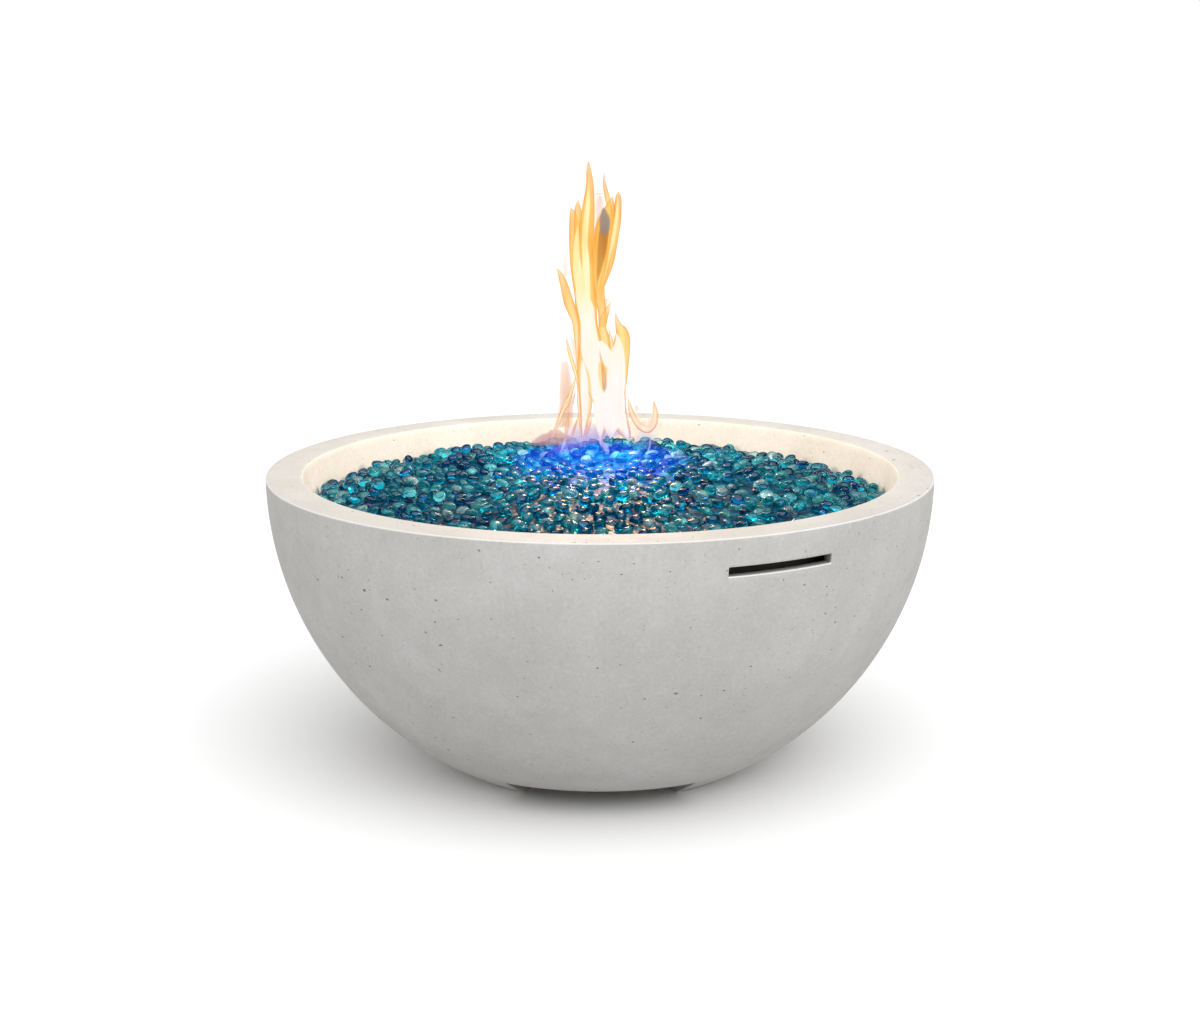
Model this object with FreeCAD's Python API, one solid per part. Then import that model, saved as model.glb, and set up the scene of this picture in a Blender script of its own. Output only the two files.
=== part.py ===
import FreeCAD, Part
import math
import os

# Round gas fire bowl: a cast concrete hemisphere on three feet, with a steel pan and burner under the glass.
# Millimetres. The origin is the centre of the base on the ground, +Z is up and the front faces -Y.

# --- Bowl casting ---
bowl_radius = 457.2
base_cut = 48.2
rim_width = 49.5
rim_thickness = 20.0
rim_edge_radius = 2.0
shell_wall = 15.5
collar_wall = 14.0
collar_draft = 7.0
ledge_drop = 79.0
ledge_width = 26.0
ledge_thickness = 16.0
floor_wall = 20.0
gas_hole_radius = 76.0
foot_count = 3
foot_gap_angle = 60.0
foot_height = 29.0
foot_inner_radius = 120.0
foot_bevel = 2.5

# --- Vent slots through the shell, counted from the front towards +X ---
slot_width = 148.0
slot_height = 12.0
slot_drop = 42.0
slot_corner_radius = 2.5
slot_angles = (29.0, 209.0)

# --- Burner pan ---
pan_wall = 2.0
pan_lip_height = 24.0
pan_bend_radius = 4.0
pan_clearance = 2.0
weep_hole_radius = 4.0
weep_hole_count = 12
weep_circle_radius = 300.0

# --- Burner: hub, six spokes and a six-sided ring of mitred tube ---
side_count = 6
ring_apothem = 125.0
tube_radius = 9.5
spoke_radius = 8.0
tube_wall = 1.5
tube_lift = 12.0
port_radius = 1.4
port_pitch = 20.0
spoke_port_count = 4
hub_radius = 24.0
hub_cap = 4.0
hub_bore = 12.0

# --- Brackets that hold the burner off the pan ---
bracket_count = 3
bracket_offset = 38.0
bracket_wall = 2.0
bracket_bend_radius = 2.0
bracket_width = 30.0
bracket_flange = 16.0
screw_radius = 2.5
screw_head_radius = 4.6
screw_head_height = 2.6
nut_flats = 8.0
nut_height = 4.0

# --- Gas pipe, half-inch, and the fittings that screw onto it ---
pipe_radius = 10.65
pipe_bore = 7.9
thread_gap = 0.1
thread_depth = 13.0
fitting_flats = 28.0
spigot_length = 31.0
washer_radius = 18.0
washer_thickness = 2.0
locknut_flats = 32.0
locknut_height = 8.0

# --- Air mixer and its shutter ---
mixer_socket_height = 20.0
mixer_throat_length = 44.0
mixer_throat_radius = 12.5
mixer_throat_bore = 7.0
mixer_chamber_length = 36.0
mixer_chamber_radius = 16.0
mixer_chamber_wall = 2.5
mixer_seat_height = 24.0
window_count = 4
window_height = 20.0
window_angle = 40.0
shutter_gap = 0.3
shutter_wall = 1.5
shutter_margin = 5.0
shutter_boss_radius = 4.5
shutter_boss_height = 3.0
thumbscrew_radius = 2.0
thumbscrew_head_radius = 5.0
thumbscrew_head_height = 6.0
orifice_flats = 11.0
orifice_head_height = 6.0
orifice_shank_radius = 4.5
orifice_jet_radius = 0.9

# --- Shut-off valve ---
nipple_exposed = 18.0
valve_barrel_radius = 17.0
valve_barrel_length = 36.0
valve_end_length = 15.0
valve_spigot_radius = 13.0
ball_radius = 10.6
ball_bore = 6.5
ball_gap = 0.2
seat_width = 3.0
seat_radius = 11.8
boss_radius = 8.0
boss_reach = 25.0
stem_radius = 3.5
stem_gap = 0.1
stem_blade = 2.4
stem_blade_depth = 3.0
packing_nut_flats = 14.0
packing_nut_height = 5.0
lever_thickness = 2.5
lever_width = 14.0
lever_length = 92.0
lever_gap = 1.0
sleeve_length = 58.0
sleeve_wall = 1.5
lever_nut_flats = 10.0
lever_nut_height = 4.0
coupling_length = 34.0

# --- Fire glass: a low mound of loose nuggets, with the highest of them standing out of it ---
glass_edge_drop = 39.0
glass_crown = 12.0
glass_gap = 0.5
nugget_radius = 12.0
nugget_rise = 8.5
nugget_spacing = 49.0
nugget_turn = 137.508

os.makedirs("parts", exist_ok=True)
origin = FreeCAD.Vector(0, 0, 0)
up = FreeCAD.Vector(0, 0, 1)
hex_sides = 6


def save(name, shape):
    shape.exportStep(f"parts/{name}.step")


def section_point(r, z):
    """A point of a turned section: radius r, height z."""
    return FreeCAD.Vector(r, 0, z)


def line(start, end):
    return Part.LineSegment(start, end).toShape()


def arc(start, middle, end):
    return Part.Arc(start, middle, end).toShape()


def turned(edges, angle=360.0):
    """Revolve a closed section about the Z axis."""
    return Part.Face(Part.Wire(edges)).revolve(origin, up, angle)


def turned_polygon(points):
    corners = [section_point(r, z) for r, z in points]
    return Part.Face(Part.makePolygon(corners + corners[:1])).revolve(origin, up, 360.0)


def rod(radius, bottom, top):
    return Part.makeCylinder(radius, top - bottom, FreeCAD.Vector(0, 0, bottom))


def sleeve(outer, inner, bottom, top):
    return rod(outer, bottom, top).cut(rod(inner, bottom, top))


def hex_bar(across_flats, bottom, top):
    """A hexagonal bar on the Z axis."""
    corner = across_flats / 2 / math.cos(math.pi / hex_sides)
    corners = []
    for k in range(hex_sides + 1):
        turn = 2 * math.pi * k / hex_sides
        corners.append(FreeCAD.Vector(corner * math.cos(turn), corner * math.sin(turn), bottom))
    return Part.Face(Part.makePolygon(corners)).extrude(FreeCAD.Vector(0, 0, top - bottom))


def about_z(shape, degrees):
    return shape.rotated(origin, up, degrees)


def facing_front(shape, height):
    """Lay a shape built along +Z so that it points to the front from the given height on the Z axis."""
    return shape.rotated(origin, FreeCAD.Vector(1, 0, 0), 90).translated(FreeCAD.Vector(0, 0, height))


# --- Heights that follow from the sizes; the base is cut flat off a hemisphere whose flat is the rim ---
bowl_height = bowl_radius - base_cut
floor_top = foot_height + floor_wall
ledge_top = bowl_height - ledge_drop
ledge_bottom = ledge_top - ledge_thickness
rim_inner_radius = bowl_radius - rim_width
draft = math.tan(math.radians(collar_draft))
inner_sphere_radius = bowl_radius - shell_wall
pan_top = ledge_top + pan_wall


def outer_radius_at(height):
    """Radius of the outer sphere, which is centred on the rim plane."""
    return math.sqrt(bowl_radius**2 - (bowl_height - height) ** 2)


def inner_radius_at(height):
    return math.sqrt(inner_sphere_radius**2 - (bowl_height - height) ** 2)


def collar_radius_at(height):
    """Radius of the collar's face towards the fire, which leans inwards going down."""
    return rim_inner_radius - (bowl_height - height) * draft


def sphere_arc(radius, low, high):
    """An arc of a sphere's section between two heights."""
    ends = [math.asin((height - bowl_height) / radius) for height in (low, high)]
    angles = (ends[0], sum(ends) / 2, ends[1])
    points = [section_point(radius * math.cos(a), bowl_height + radius * math.sin(a)) for a in angles]
    return arc(*points)


# --- Bowl: shell, flat rim, collar with its ledge, floor and feet in one casting ---
def bowl_section():
    """Shell, rim, collar and ledge as one closed section, from the gas hole round to the ledge and back."""
    rim_underside = bowl_height - rim_thickness
    edge_drop = bowl_height - rim_edge_radius
    edge_out = section_point(outer_radius_at(edge_drop), edge_drop)
    edge_top = section_point(bowl_radius - rim_edge_radius, bowl_height)
    ease = rim_edge_radius * (1 - math.sqrt(0.5))
    edge_middle = section_point(bowl_radius - ease, bowl_height - ease)
    lip_top = section_point(rim_inner_radius + rim_edge_radius, bowl_height)
    lip_middle = section_point(rim_inner_radius + ease, bowl_height - ease)
    lip_side = section_point(collar_radius_at(edge_drop), edge_drop)
    underside_edge = section_point(outer_radius_at(foot_height), foot_height)
    ledge_back = section_point(collar_radius_at(ledge_top), ledge_top)
    ledge_front_radius = ledge_back.x - ledge_width
    corners = [
        section_point(ledge_front_radius, ledge_top),
        section_point(ledge_front_radius, ledge_bottom),
        section_point(collar_radius_at(ledge_bottom) + collar_wall, ledge_bottom),
        section_point(collar_radius_at(rim_underside) + collar_wall, rim_underside),
        section_point(inner_radius_at(rim_underside), rim_underside),
    ]
    edges = [
        line(section_point(gas_hole_radius, foot_height), underside_edge),
        sphere_arc(bowl_radius, foot_height, edge_drop),
        arc(edge_out, edge_middle, edge_top),
        line(edge_top, lip_top),
        arc(lip_top, lip_middle, lip_side),
        line(lip_side, ledge_back),
        line(ledge_back, corners[0]),
    ]
    edges += [line(a, b) for a, b in zip(corners, corners[1:])]
    edges += [
        sphere_arc(inner_sphere_radius, rim_underside, floor_top),
        line(section_point(inner_radius_at(floor_top), floor_top), section_point(gas_hole_radius, floor_top)),
        line(section_point(gas_hole_radius, floor_top), section_point(gas_hole_radius, foot_height)),
    ]
    return edges


def foot_corner_cutter(side):
    """A wedge that bevels the corner between the sphere and a foot's radial side; side is 1 or -1 along Y."""
    low = section_point(outer_radius_at(0), 0)
    high = section_point(outer_radius_at(foot_height), foot_height)
    along = (high - low).normalize()
    away = FreeCAD.Vector(along.z, side, -along.x).normalize()
    across = along.cross(away)
    middle = (low + high) / 2 - away * foot_bevel
    reach = high.x - low.x
    turns = ((-1, -1), (1, -1), (1, 1), (-1, 1), (-1, -1))
    corners = [middle + along * reach * a + across * reach * b for a, b in turns]
    return Part.Face(Part.makePolygon(corners)).extrude(away * reach)


def foot(middle_angle):
    """A sixth of a ring under the floor, whose outside carries on the sphere."""
    foot_angle = 360.0 / foot_count - foot_gap_angle
    inner_top = section_point(foot_inner_radius, foot_height)
    inner_bottom = section_point(foot_inner_radius, 0)
    section = [
        line(inner_bottom, section_point(outer_radius_at(0), 0)),
        sphere_arc(bowl_radius, 0, foot_height),
        line(section_point(outer_radius_at(foot_height), foot_height), inner_top),
        line(inner_top, inner_bottom),
    ]
    block = turned(section, foot_angle)
    block = block.cut([foot_corner_cutter(-1), about_z(foot_corner_cutter(1), foot_angle)])
    return about_z(block, middle_angle - foot_angle / 2)


def slot_cutter(angle):
    """A straight slot through the shell that stops in the hollow behind it."""
    slot_height_middle = bowl_height - slot_drop
    shell_inside = math.sqrt(inner_radius_at(slot_height_middle - slot_height) ** 2 - (slot_width / 2) ** 2)
    collar_outside = collar_radius_at(slot_height_middle) + collar_wall
    start = (shell_inside + collar_outside) / 2
    depth = bowl_radius + shell_wall - start
    cutter = Part.makeBox(slot_width, depth, slot_height)
    cutter = cutter.makeFillet(slot_corner_radius, [e for e in cutter.Edges if abs(e.tangentAt(0).y) > 0.9])
    cutter.translate(FreeCAD.Vector(-slot_width / 2, -start - depth, slot_height_middle - slot_height / 2))
    return about_z(cutter, angle)


def make_bowl():
    feet = [foot(-90 + 360 / foot_count * (k + 0.5)) for k in range(foot_count)]
    casting = turned(bowl_section()).fuse(feet).removeSplitter()
    return casting.cut([slot_cutter(angle) for angle in slot_angles])


save("bowl", make_bowl())

# --- Burner layout, shared by the pan, the burner and the glass ---
tube_height = pan_top + tube_lift + tube_radius
side_step = 360.0 / side_count
ring_corner_radius = ring_apothem / math.cos(math.radians(side_step / 2))
ring_side_length = 2 * ring_apothem * math.tan(math.radians(side_step / 2))
bracket_angles = [side_step * side_count / bracket_count * k for k in range(bracket_count)]
flange_hole = FreeCAD.Vector(ring_apothem, bracket_offset + bracket_wall / 2 + bracket_flange / 2, 0)


# --- Burner pan: a spun dish that lies on the ledge ---
def make_pan():
    rim = collar_radius_at(ledge_top) - pan_clearance
    bend = pan_bend_radius + pan_wall
    inside = rim - pan_wall
    lip_height = ledge_top + pan_lip_height
    ease = 1 - math.sqrt(0.5)
    hub_hole = pipe_radius + thread_gap
    edges = [
        line(section_point(hub_hole, ledge_top), section_point(rim - bend, ledge_top)),
        arc(
            section_point(rim - bend, ledge_top),
            section_point(rim - bend * ease, ledge_top + bend * ease),
            section_point(rim, ledge_top + bend),
        ),
        line(section_point(rim, ledge_top + bend), section_point(rim, lip_height)),
        line(section_point(rim, lip_height), section_point(inside, lip_height)),
        line(section_point(inside, lip_height), section_point(inside, ledge_top + bend)),
        arc(
            section_point(inside, ledge_top + bend),
            section_point(inside - pan_bend_radius * ease, pan_top + pan_bend_radius * ease),
            section_point(rim - bend, pan_top),
        ),
        line(section_point(rim - bend, pan_top), section_point(hub_hole, pan_top)),
        line(section_point(hub_hole, pan_top), section_point(hub_hole, ledge_top)),
    ]
    drill = Part.makeCylinder(weep_hole_radius, pan_wall, FreeCAD.Vector(weep_circle_radius, 0, ledge_top))
    holes = [about_z(drill, 360 / weep_hole_count * (k + 0.5)) for k in range(weep_hole_count)]
    screw_drill = Part.makeCylinder(screw_radius + thread_gap, pan_wall, flange_hole + up * ledge_top)
    holes += [about_z(screw_drill, angle) for angle in bracket_angles]
    return turned(edges).cut(holes)


save("burner_pan", make_pan())


# --- Burner hub: spokes enter its side, and its threaded spigot goes down through the pan ---
def spoke_axis_rod(radius, start, end):
    """A rod along +X at the height of the burner tubes."""
    along = FreeCAD.Vector(1, 0, 0)
    return Part.makeCylinder(radius, end - start, FreeCAD.Vector(start, 0, tube_height), along)


def make_hub():
    top = tube_height + tube_radius + hub_cap
    spigot_end = pan_top - spigot_length
    body = rod(hub_radius, pan_top, top).fuse(rod(pipe_radius, spigot_end, pan_top)).removeSplitter()
    chamber = rod(hub_bore, pan_top + hub_cap, top - hub_cap)
    body = body.cut([rod(pipe_bore, spigot_end, top - hub_cap), chamber])
    inlet = spoke_axis_rod(spoke_radius - tube_wall, 0, hub_radius)
    return body.cut([about_z(inlet, side_step * k) for k in range(side_count)])


save("burner_hub", make_hub())


# --- Burner tubes ---
def port_drill(x, y):
    return Part.makeCylinder(port_radius, tube_radius, FreeCAD.Vector(x, y, tube_height))


def ring_rod(radius, length):
    """A rod along Y at the height and distance of the ring's first side."""
    start = FreeCAD.Vector(ring_apothem, -length / 2, tube_height)
    return Part.makeCylinder(radius, length, start, FreeCAD.Vector(0, 1, 0))


def make_ring_side():
    """A tube mitred at both ends, with gas ports along its top and a hole for its spoke."""
    overlong = ring_side_length + 4 * tube_radius
    side = ring_rod(tube_radius, overlong).cut(ring_rod(tube_radius - tube_wall, overlong))
    reach = ring_corner_radius + 2 * tube_radius
    spread = reach * math.tan(math.radians(side_step / 2))
    bottom = tube_height - 2 * tube_radius
    wedge = Part.makePolygon(
        [
            FreeCAD.Vector(0, 0, bottom),
            FreeCAD.Vector(reach, -spread, bottom),
            FreeCAD.Vector(reach, spread, bottom),
            FreeCAD.Vector(0, 0, bottom),
        ]
    )
    side = side.common(Part.Face(wedge).extrude(FreeCAD.Vector(0, 0, 4 * tube_radius)))
    half_run = int((ring_side_length / 2 - tube_radius) / port_pitch)
    drills = [port_drill(ring_apothem, port_pitch * k) for k in range(-half_run, half_run + 1)]
    drills.append(spoke_axis_rod(spoke_radius - tube_wall, ring_apothem - 2 * tube_radius, ring_apothem))
    return side.cut(drills)


def make_spoke():
    """A tube from the hub to the middle of a side, coped round the ring's tube."""
    spoke = spoke_axis_rod(spoke_radius, 0, ring_apothem)
    spoke = spoke.cut(spoke_axis_rod(spoke_radius - tube_wall, 0, ring_apothem))
    hub_body = rod(hub_radius, tube_height - 2 * tube_radius, tube_height + 2 * tube_radius)
    spoke = spoke.cut([hub_body, ring_rod(tube_radius, ring_side_length)])
    drills = [port_drill(hub_radius + port_pitch * (k + 0.5), 0) for k in range(spoke_port_count)]
    return spoke.cut(drills)


def lies_along_x(edge, y, z):
    """True for a straight edge parallel to X at the given place."""
    return all(math.hypot(vertex.Y - y, vertex.Z - z) < thread_gap for vertex in edge.Vertexes)


def make_bracket():
    """A bent plate: the upright is notched for the tube, and the flange is screwed to the pan."""
    height = tube_height - pan_top
    start = ring_apothem - bracket_width / 2
    near = bracket_offset - bracket_wall / 2
    far = bracket_offset + bracket_wall / 2
    upright = Part.makeBox(bracket_width, bracket_wall, height, FreeCAD.Vector(start, near, pan_top))
    flange = Part.makeBox(bracket_width, bracket_flange, bracket_wall, FreeCAD.Vector(start, far, pan_top))
    blank = upright.fuse(flange).removeSplitter()
    inner_bend = [e for e in blank.Edges if lies_along_x(e, far, pan_top + bracket_wall)]
    blank = blank.makeFillet(bracket_bend_radius, inner_bend)
    outer_bend = [e for e in blank.Edges if lies_along_x(e, near, pan_top)]
    blank = blank.makeFillet(bracket_bend_radius + bracket_wall, outer_bend)
    hole = Part.makeCylinder(screw_radius + thread_gap, bracket_wall, flange_hole + up * pan_top)
    return blank.cut([ring_rod(tube_radius + thread_gap, ring_side_length), hole])


def make_screw():
    seat = pan_top + bracket_wall
    shank_end = ledge_top - nut_height - screw_radius
    head = Part.makeCylinder(screw_head_radius, screw_head_height, flange_hole + up * seat)
    head = head.makeFillet(screw_head_height / 2, [e for e in head.Edges if e.BoundBox.ZMin > seat + 0.1])
    shank = Part.makeCylinder(screw_radius, seat - shank_end, flange_hole + up * shank_end)
    return head.fuse(shank).removeSplitter()


def make_nut():
    nut = hex_bar(nut_flats, ledge_top - nut_height, ledge_top)
    nut = nut.cut(rod(screw_radius + thread_gap, ledge_top - nut_height, ledge_top))
    return nut.translated(flange_hole)


ring_side = make_ring_side()
spoke = make_spoke()
for k in range(side_count):
    save(f"ring_tube_{k + 1}", about_z(ring_side, side_step * k))
    save(f"burner_spoke_{k + 1}", about_z(spoke, side_step * k))

bracket = make_bracket()
for k, angle in enumerate(bracket_angles):
    save(f"burner_bracket_{k + 1}", about_z(bracket, angle))
save("bracket_screws", Part.makeCompound([about_z(make_screw(), angle) for angle in bracket_angles]))
save("bracket_nuts", Part.makeCompound([about_z(make_nut(), angle) for angle in bracket_angles]))

# --- Washer and locknut that clamp the hub to the pan ---
washer_bottom = ledge_top - washer_thickness
locknut_bottom = washer_bottom - locknut_height
save("hub_washer", sleeve(washer_radius, pipe_radius + thread_gap, washer_bottom, ledge_top))
locknut = hex_bar(locknut_flats, locknut_bottom, washer_bottom)
save("hub_locknut", locknut.cut(rod(pipe_radius + thread_gap, locknut_bottom, washer_bottom)))

# --- Air mixer: it draws air through its windows into the gas that the orifice sprays up the throat ---
mixer_top = pan_top - spigot_length + thread_depth
throat_top = mixer_top - mixer_socket_height
chamber_top = throat_top - mixer_throat_length
chamber_bottom = chamber_top - mixer_chamber_length
mixer_bottom = chamber_bottom - mixer_seat_height
socket_radius = pipe_radius + thread_gap


def window_sector(angle, bottom, top):
    """A wedge between two heights, used to cut one air window."""
    reach = 2 * fitting_flats
    sector = Part.makeCylinder(reach, top - bottom, FreeCAD.Vector(0, 0, bottom), up, angle)
    return about_z(sector, -angle / 2)


def cut_windows(shape, middle):
    sector = window_sector(window_angle, middle - window_height / 2, middle + window_height / 2)
    return shape.cut([about_z(sector, 360 / window_count * (k + 0.5)) for k in range(window_count)])


def make_mixer():
    cone_height = mixer_chamber_radius - mixer_throat_radius
    outside = turned_polygon(
        [
            (0, chamber_bottom),
            (mixer_chamber_radius, chamber_bottom),
            (mixer_chamber_radius, chamber_top),
            (mixer_throat_radius, chamber_top + cone_height),
            (mixer_throat_radius, throat_top),
            (0, throat_top),
        ]
    )
    body = outside.fuse(
        [hex_bar(fitting_flats, throat_top, mixer_top), hex_bar(fitting_flats, mixer_bottom, chamber_bottom)]
    )
    chamber_bore = mixer_chamber_radius - mixer_chamber_wall
    flare_height = chamber_bore - mixer_throat_bore
    gas_way = turned_polygon(
        [
            (0, chamber_bottom),
            (chamber_bore, chamber_bottom),
            (chamber_bore, chamber_top - flare_height / 2),
            (mixer_throat_bore, chamber_top + flare_height / 2),
            (mixer_throat_bore, mixer_top - thread_depth),
            (socket_radius, mixer_top - thread_depth),
            (socket_radius, mixer_top),
            (0, mixer_top),
        ]
    )
    lower_socket = rod(socket_radius, mixer_bottom, mixer_bottom + thread_depth)
    orifice_hole = rod(orifice_shank_radius + thread_gap, mixer_bottom + thread_depth, chamber_bottom)
    body = body.removeSplitter().cut([gas_way, lower_socket, orifice_hole])
    return cut_windows(body, (chamber_bottom + chamber_top) / 2)


save("air_mixer", make_mixer())


# --- Air shutter: a collar with the same windows, turned by hand and held by a thumbscrew ---
def make_shutter():
    bore = mixer_chamber_radius + shutter_gap
    outside = bore + shutter_wall
    middle = (chamber_bottom + chamber_top) / 2
    half = window_height / 2 + shutter_margin
    collar = cut_windows(sleeve(outside, bore, middle - half, middle + half), middle)
    start = FreeCAD.Vector(0, 0, middle)
    along = FreeCAD.Vector(1, 0, 0)
    boss = Part.makeCylinder(shutter_boss_radius, outside + shutter_boss_height, start, along)
    boss = boss.cut(rod(outside - shutter_wall / 2, middle - half, middle + half))
    hole = Part.makeCylinder(thumbscrew_radius + thread_gap, 2 * outside, start, along)
    return collar.fuse(boss).removeSplitter().cut(hole)


def make_thumbscrew():
    middle = (chamber_bottom + chamber_top) / 2
    tip = mixer_chamber_radius + shutter_gap
    seat = mixer_chamber_radius + shutter_gap + shutter_wall + shutter_boss_height + thread_gap
    along = FreeCAD.Vector(1, 0, 0)
    head_start = FreeCAD.Vector(seat, 0, middle)
    shank = Part.makeCylinder(thumbscrew_radius, seat - tip, FreeCAD.Vector(tip, 0, middle), along)
    head = Part.makeCylinder(thumbscrew_head_radius, thumbscrew_head_height, head_start, along)
    return shank.fuse(head).removeSplitter()


save("air_shutter", make_shutter())
save("shutter_thumbscrew", make_thumbscrew())

# --- Orifice: a brass jet screwed into the mixer's floor ---
orifice = hex_bar(orifice_flats, chamber_bottom, chamber_bottom + orifice_head_height)
orifice_bottom = mixer_bottom + thread_depth
orifice = orifice.fuse(rod(orifice_shank_radius, orifice_bottom, chamber_bottom)).removeSplitter()
jet = rod(orifice_jet_radius, orifice_bottom, chamber_bottom + orifice_head_height)
save("orifice", orifice.cut(jet))

# --- Nipple between the mixer and the valve ---
nipple_length = nipple_exposed + 2 * thread_depth
mixer_nipple_top = mixer_bottom + thread_depth
mixer_nipple_bottom = mixer_nipple_top - nipple_length
save("mixer_nipple", sleeve(pipe_radius, pipe_bore, mixer_nipple_bottom, mixer_nipple_top))

# --- Shut-off valve: body, screwed end, two seats, ball, stem and packing nut ---
valve_top = mixer_nipple_bottom + thread_depth
barrel_top = valve_top - valve_end_length
barrel_bottom = barrel_top - valve_barrel_length
valve_bottom = barrel_bottom - valve_end_length
valve_middle = (barrel_top + barrel_bottom) / 2
ball_room = ball_radius + ball_gap
seat_reach = ball_room * math.sqrt(0.5)


def valve_rod(radius, start, end):
    """A rod along the stem's axis, from the valve's middle towards the front."""
    return facing_front(rod(radius, start, end), valve_middle)


def make_valve_body():
    body = rod(valve_barrel_radius, barrel_bottom, barrel_top).fuse(
        [hex_bar(fitting_flats, barrel_top, valve_top), valve_rod(boss_radius, 0, boss_reach)]
    )
    body = body.removeSplitter()
    upper_seat_top = valve_middle + seat_reach + seat_width
    ways = [
        rod(socket_radius, valve_top - thread_depth, valve_top),
        rod(pipe_bore, valve_middle, valve_top),
        rod(seat_radius + thread_gap, valve_middle, upper_seat_top),
        rod(valve_spigot_radius + thread_gap, barrel_bottom, valve_middle),
        Part.makeSphere(ball_room, FreeCAD.Vector(0, 0, valve_middle)),
        valve_rod(stem_radius + stem_gap, 0, boss_reach),
    ]
    return body.cut(ways)


def make_valve_end():
    """The lower hexagon and the spigot that screws up into the barrel against the lower seat."""
    spigot_top = valve_middle - seat_reach - seat_width
    hexagon = hex_bar(fitting_flats, valve_bottom, barrel_bottom)
    end = hexagon.fuse(rod(valve_spigot_radius, barrel_bottom, spigot_top)).removeSplitter()
    socket = rod(socket_radius, valve_bottom, valve_bottom + thread_depth)
    return end.cut([socket, rod(pipe_bore, valve_bottom, spigot_top)])


def make_seat():
    """The upper seat: a soft ring hollowed to the ball."""
    ring = sleeve(seat_radius, pipe_bore, valve_middle + seat_reach, valve_middle + seat_reach + seat_width)
    return ring.cut(Part.makeSphere(ball_room, FreeCAD.Vector(0, 0, valve_middle)))


def make_ball():
    ball = Part.makeSphere(ball_radius, FreeCAD.Vector(0, 0, valve_middle))
    bore = rod(ball_bore, valve_middle - ball_radius, valve_middle + ball_radius)
    slot_width = stem_blade + 2 * thread_gap
    slot = Part.makeBox(slot_width, stem_blade_depth, 2 * ball_radius)
    slot.translate(FreeCAD.Vector(-slot_width / 2, -ball_radius, valve_middle - ball_radius))
    return ball.cut([bore, slot])


packing_start = boss_reach
packing_end = packing_start + packing_nut_height
lever_start = packing_end + lever_gap
lever_end = lever_start + lever_thickness
lever_nut_end = lever_end + lever_nut_height


def make_stem():
    """A round stem whose flattened tip sits in the ball's slot."""
    blade_tip = ball_radius - stem_blade_depth + thread_gap
    flats = Part.makeBox(stem_blade, 2 * stem_radius, ball_room)
    flats.translate(FreeCAD.Vector(-stem_blade / 2, -stem_radius, 0))
    blade = rod(stem_radius, blade_tip, ball_room).common(flats)
    return facing_front(blade.fuse(rod(stem_radius, ball_room, lever_nut_end)).removeSplitter(), valve_middle)


def make_lever():
    """A flat steel lever with a round eye for the stem, lying along the pipe when the gas is on."""
    strip = Part.makeBox(lever_width, lever_length, lever_thickness)
    strip.translate(FreeCAD.Vector(-lever_width / 2, 0, lever_start))
    blank = strip.fuse(rod(lever_width / 2, lever_start, lever_end)).removeSplitter()
    tip_edges = [e for e in blank.Edges if abs(e.tangentAt(0).z) > 0.9 and e.BoundBox.YMin > lever_length / 2]
    blank = blank.makeFillet(lever_width / 3, tip_edges)
    return facing_front(blank.cut(rod(stem_radius + thread_gap, lever_start, lever_end)), valve_middle)


def make_lever_sleeve():
    """A soft sleeve pushed over the lever's end."""
    start = lever_length - sleeve_length
    skin = sleeve_wall + thread_gap
    outside = Part.makeBox(lever_width + 2 * skin, sleeve_length + skin, lever_thickness + 2 * skin)
    outside.translate(FreeCAD.Vector(-lever_width / 2 - skin, start, lever_start - skin))
    outside = outside.makeFillet(sleeve_wall, [e for e in outside.Edges if abs(e.tangentAt(0).y) > 0.9])
    pocket_width = lever_width + 2 * thread_gap
    pocket = Part.makeBox(pocket_width, sleeve_length + thread_gap, lever_thickness + 2 * thread_gap)
    pocket.translate(FreeCAD.Vector(-lever_width / 2 - thread_gap, start, lever_start - thread_gap))
    return facing_front(outside.cut(pocket), valve_middle)


def front_hexagon(across_flats, start, end, hole):
    return facing_front(hex_bar(across_flats, start, end).cut(rod(hole, start, end)), valve_middle)


upper_seat = make_seat()
save("valve_body", make_valve_body())
save("valve_end", make_valve_end())
save("upper_seat", upper_seat)
save("lower_seat", upper_seat.mirror(FreeCAD.Vector(0, 0, valve_middle), up))
save("valve_ball", make_ball())
save("valve_stem", make_stem())
save("packing_nut", front_hexagon(packing_nut_flats, packing_start, packing_end, stem_radius + stem_gap))
save("valve_lever", make_lever())
save("lever_sleeve", make_lever_sleeve())
save("lever_nut", front_hexagon(lever_nut_flats, lever_end, lever_nut_end, stem_radius + thread_gap))

# --- Inlet nipple and the coupling that takes the gas supply from below ---
inlet_nipple_top = valve_bottom + thread_depth
inlet_nipple_bottom = inlet_nipple_top - nipple_length
coupling_top = inlet_nipple_bottom + thread_depth
coupling_bottom = coupling_top - coupling_length
save("inlet_nipple", sleeve(pipe_radius, pipe_bore, inlet_nipple_bottom, inlet_nipple_top))
coupling = hex_bar(fitting_flats, coupling_bottom, coupling_top).cut(
    [
        rod(socket_radius, coupling_top - thread_depth, coupling_top),
        rod(socket_radius, coupling_bottom, coupling_bottom + thread_depth),
        rod(pipe_bore, coupling_bottom, coupling_top),
    ]
)
save("inlet_coupling", coupling)


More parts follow.
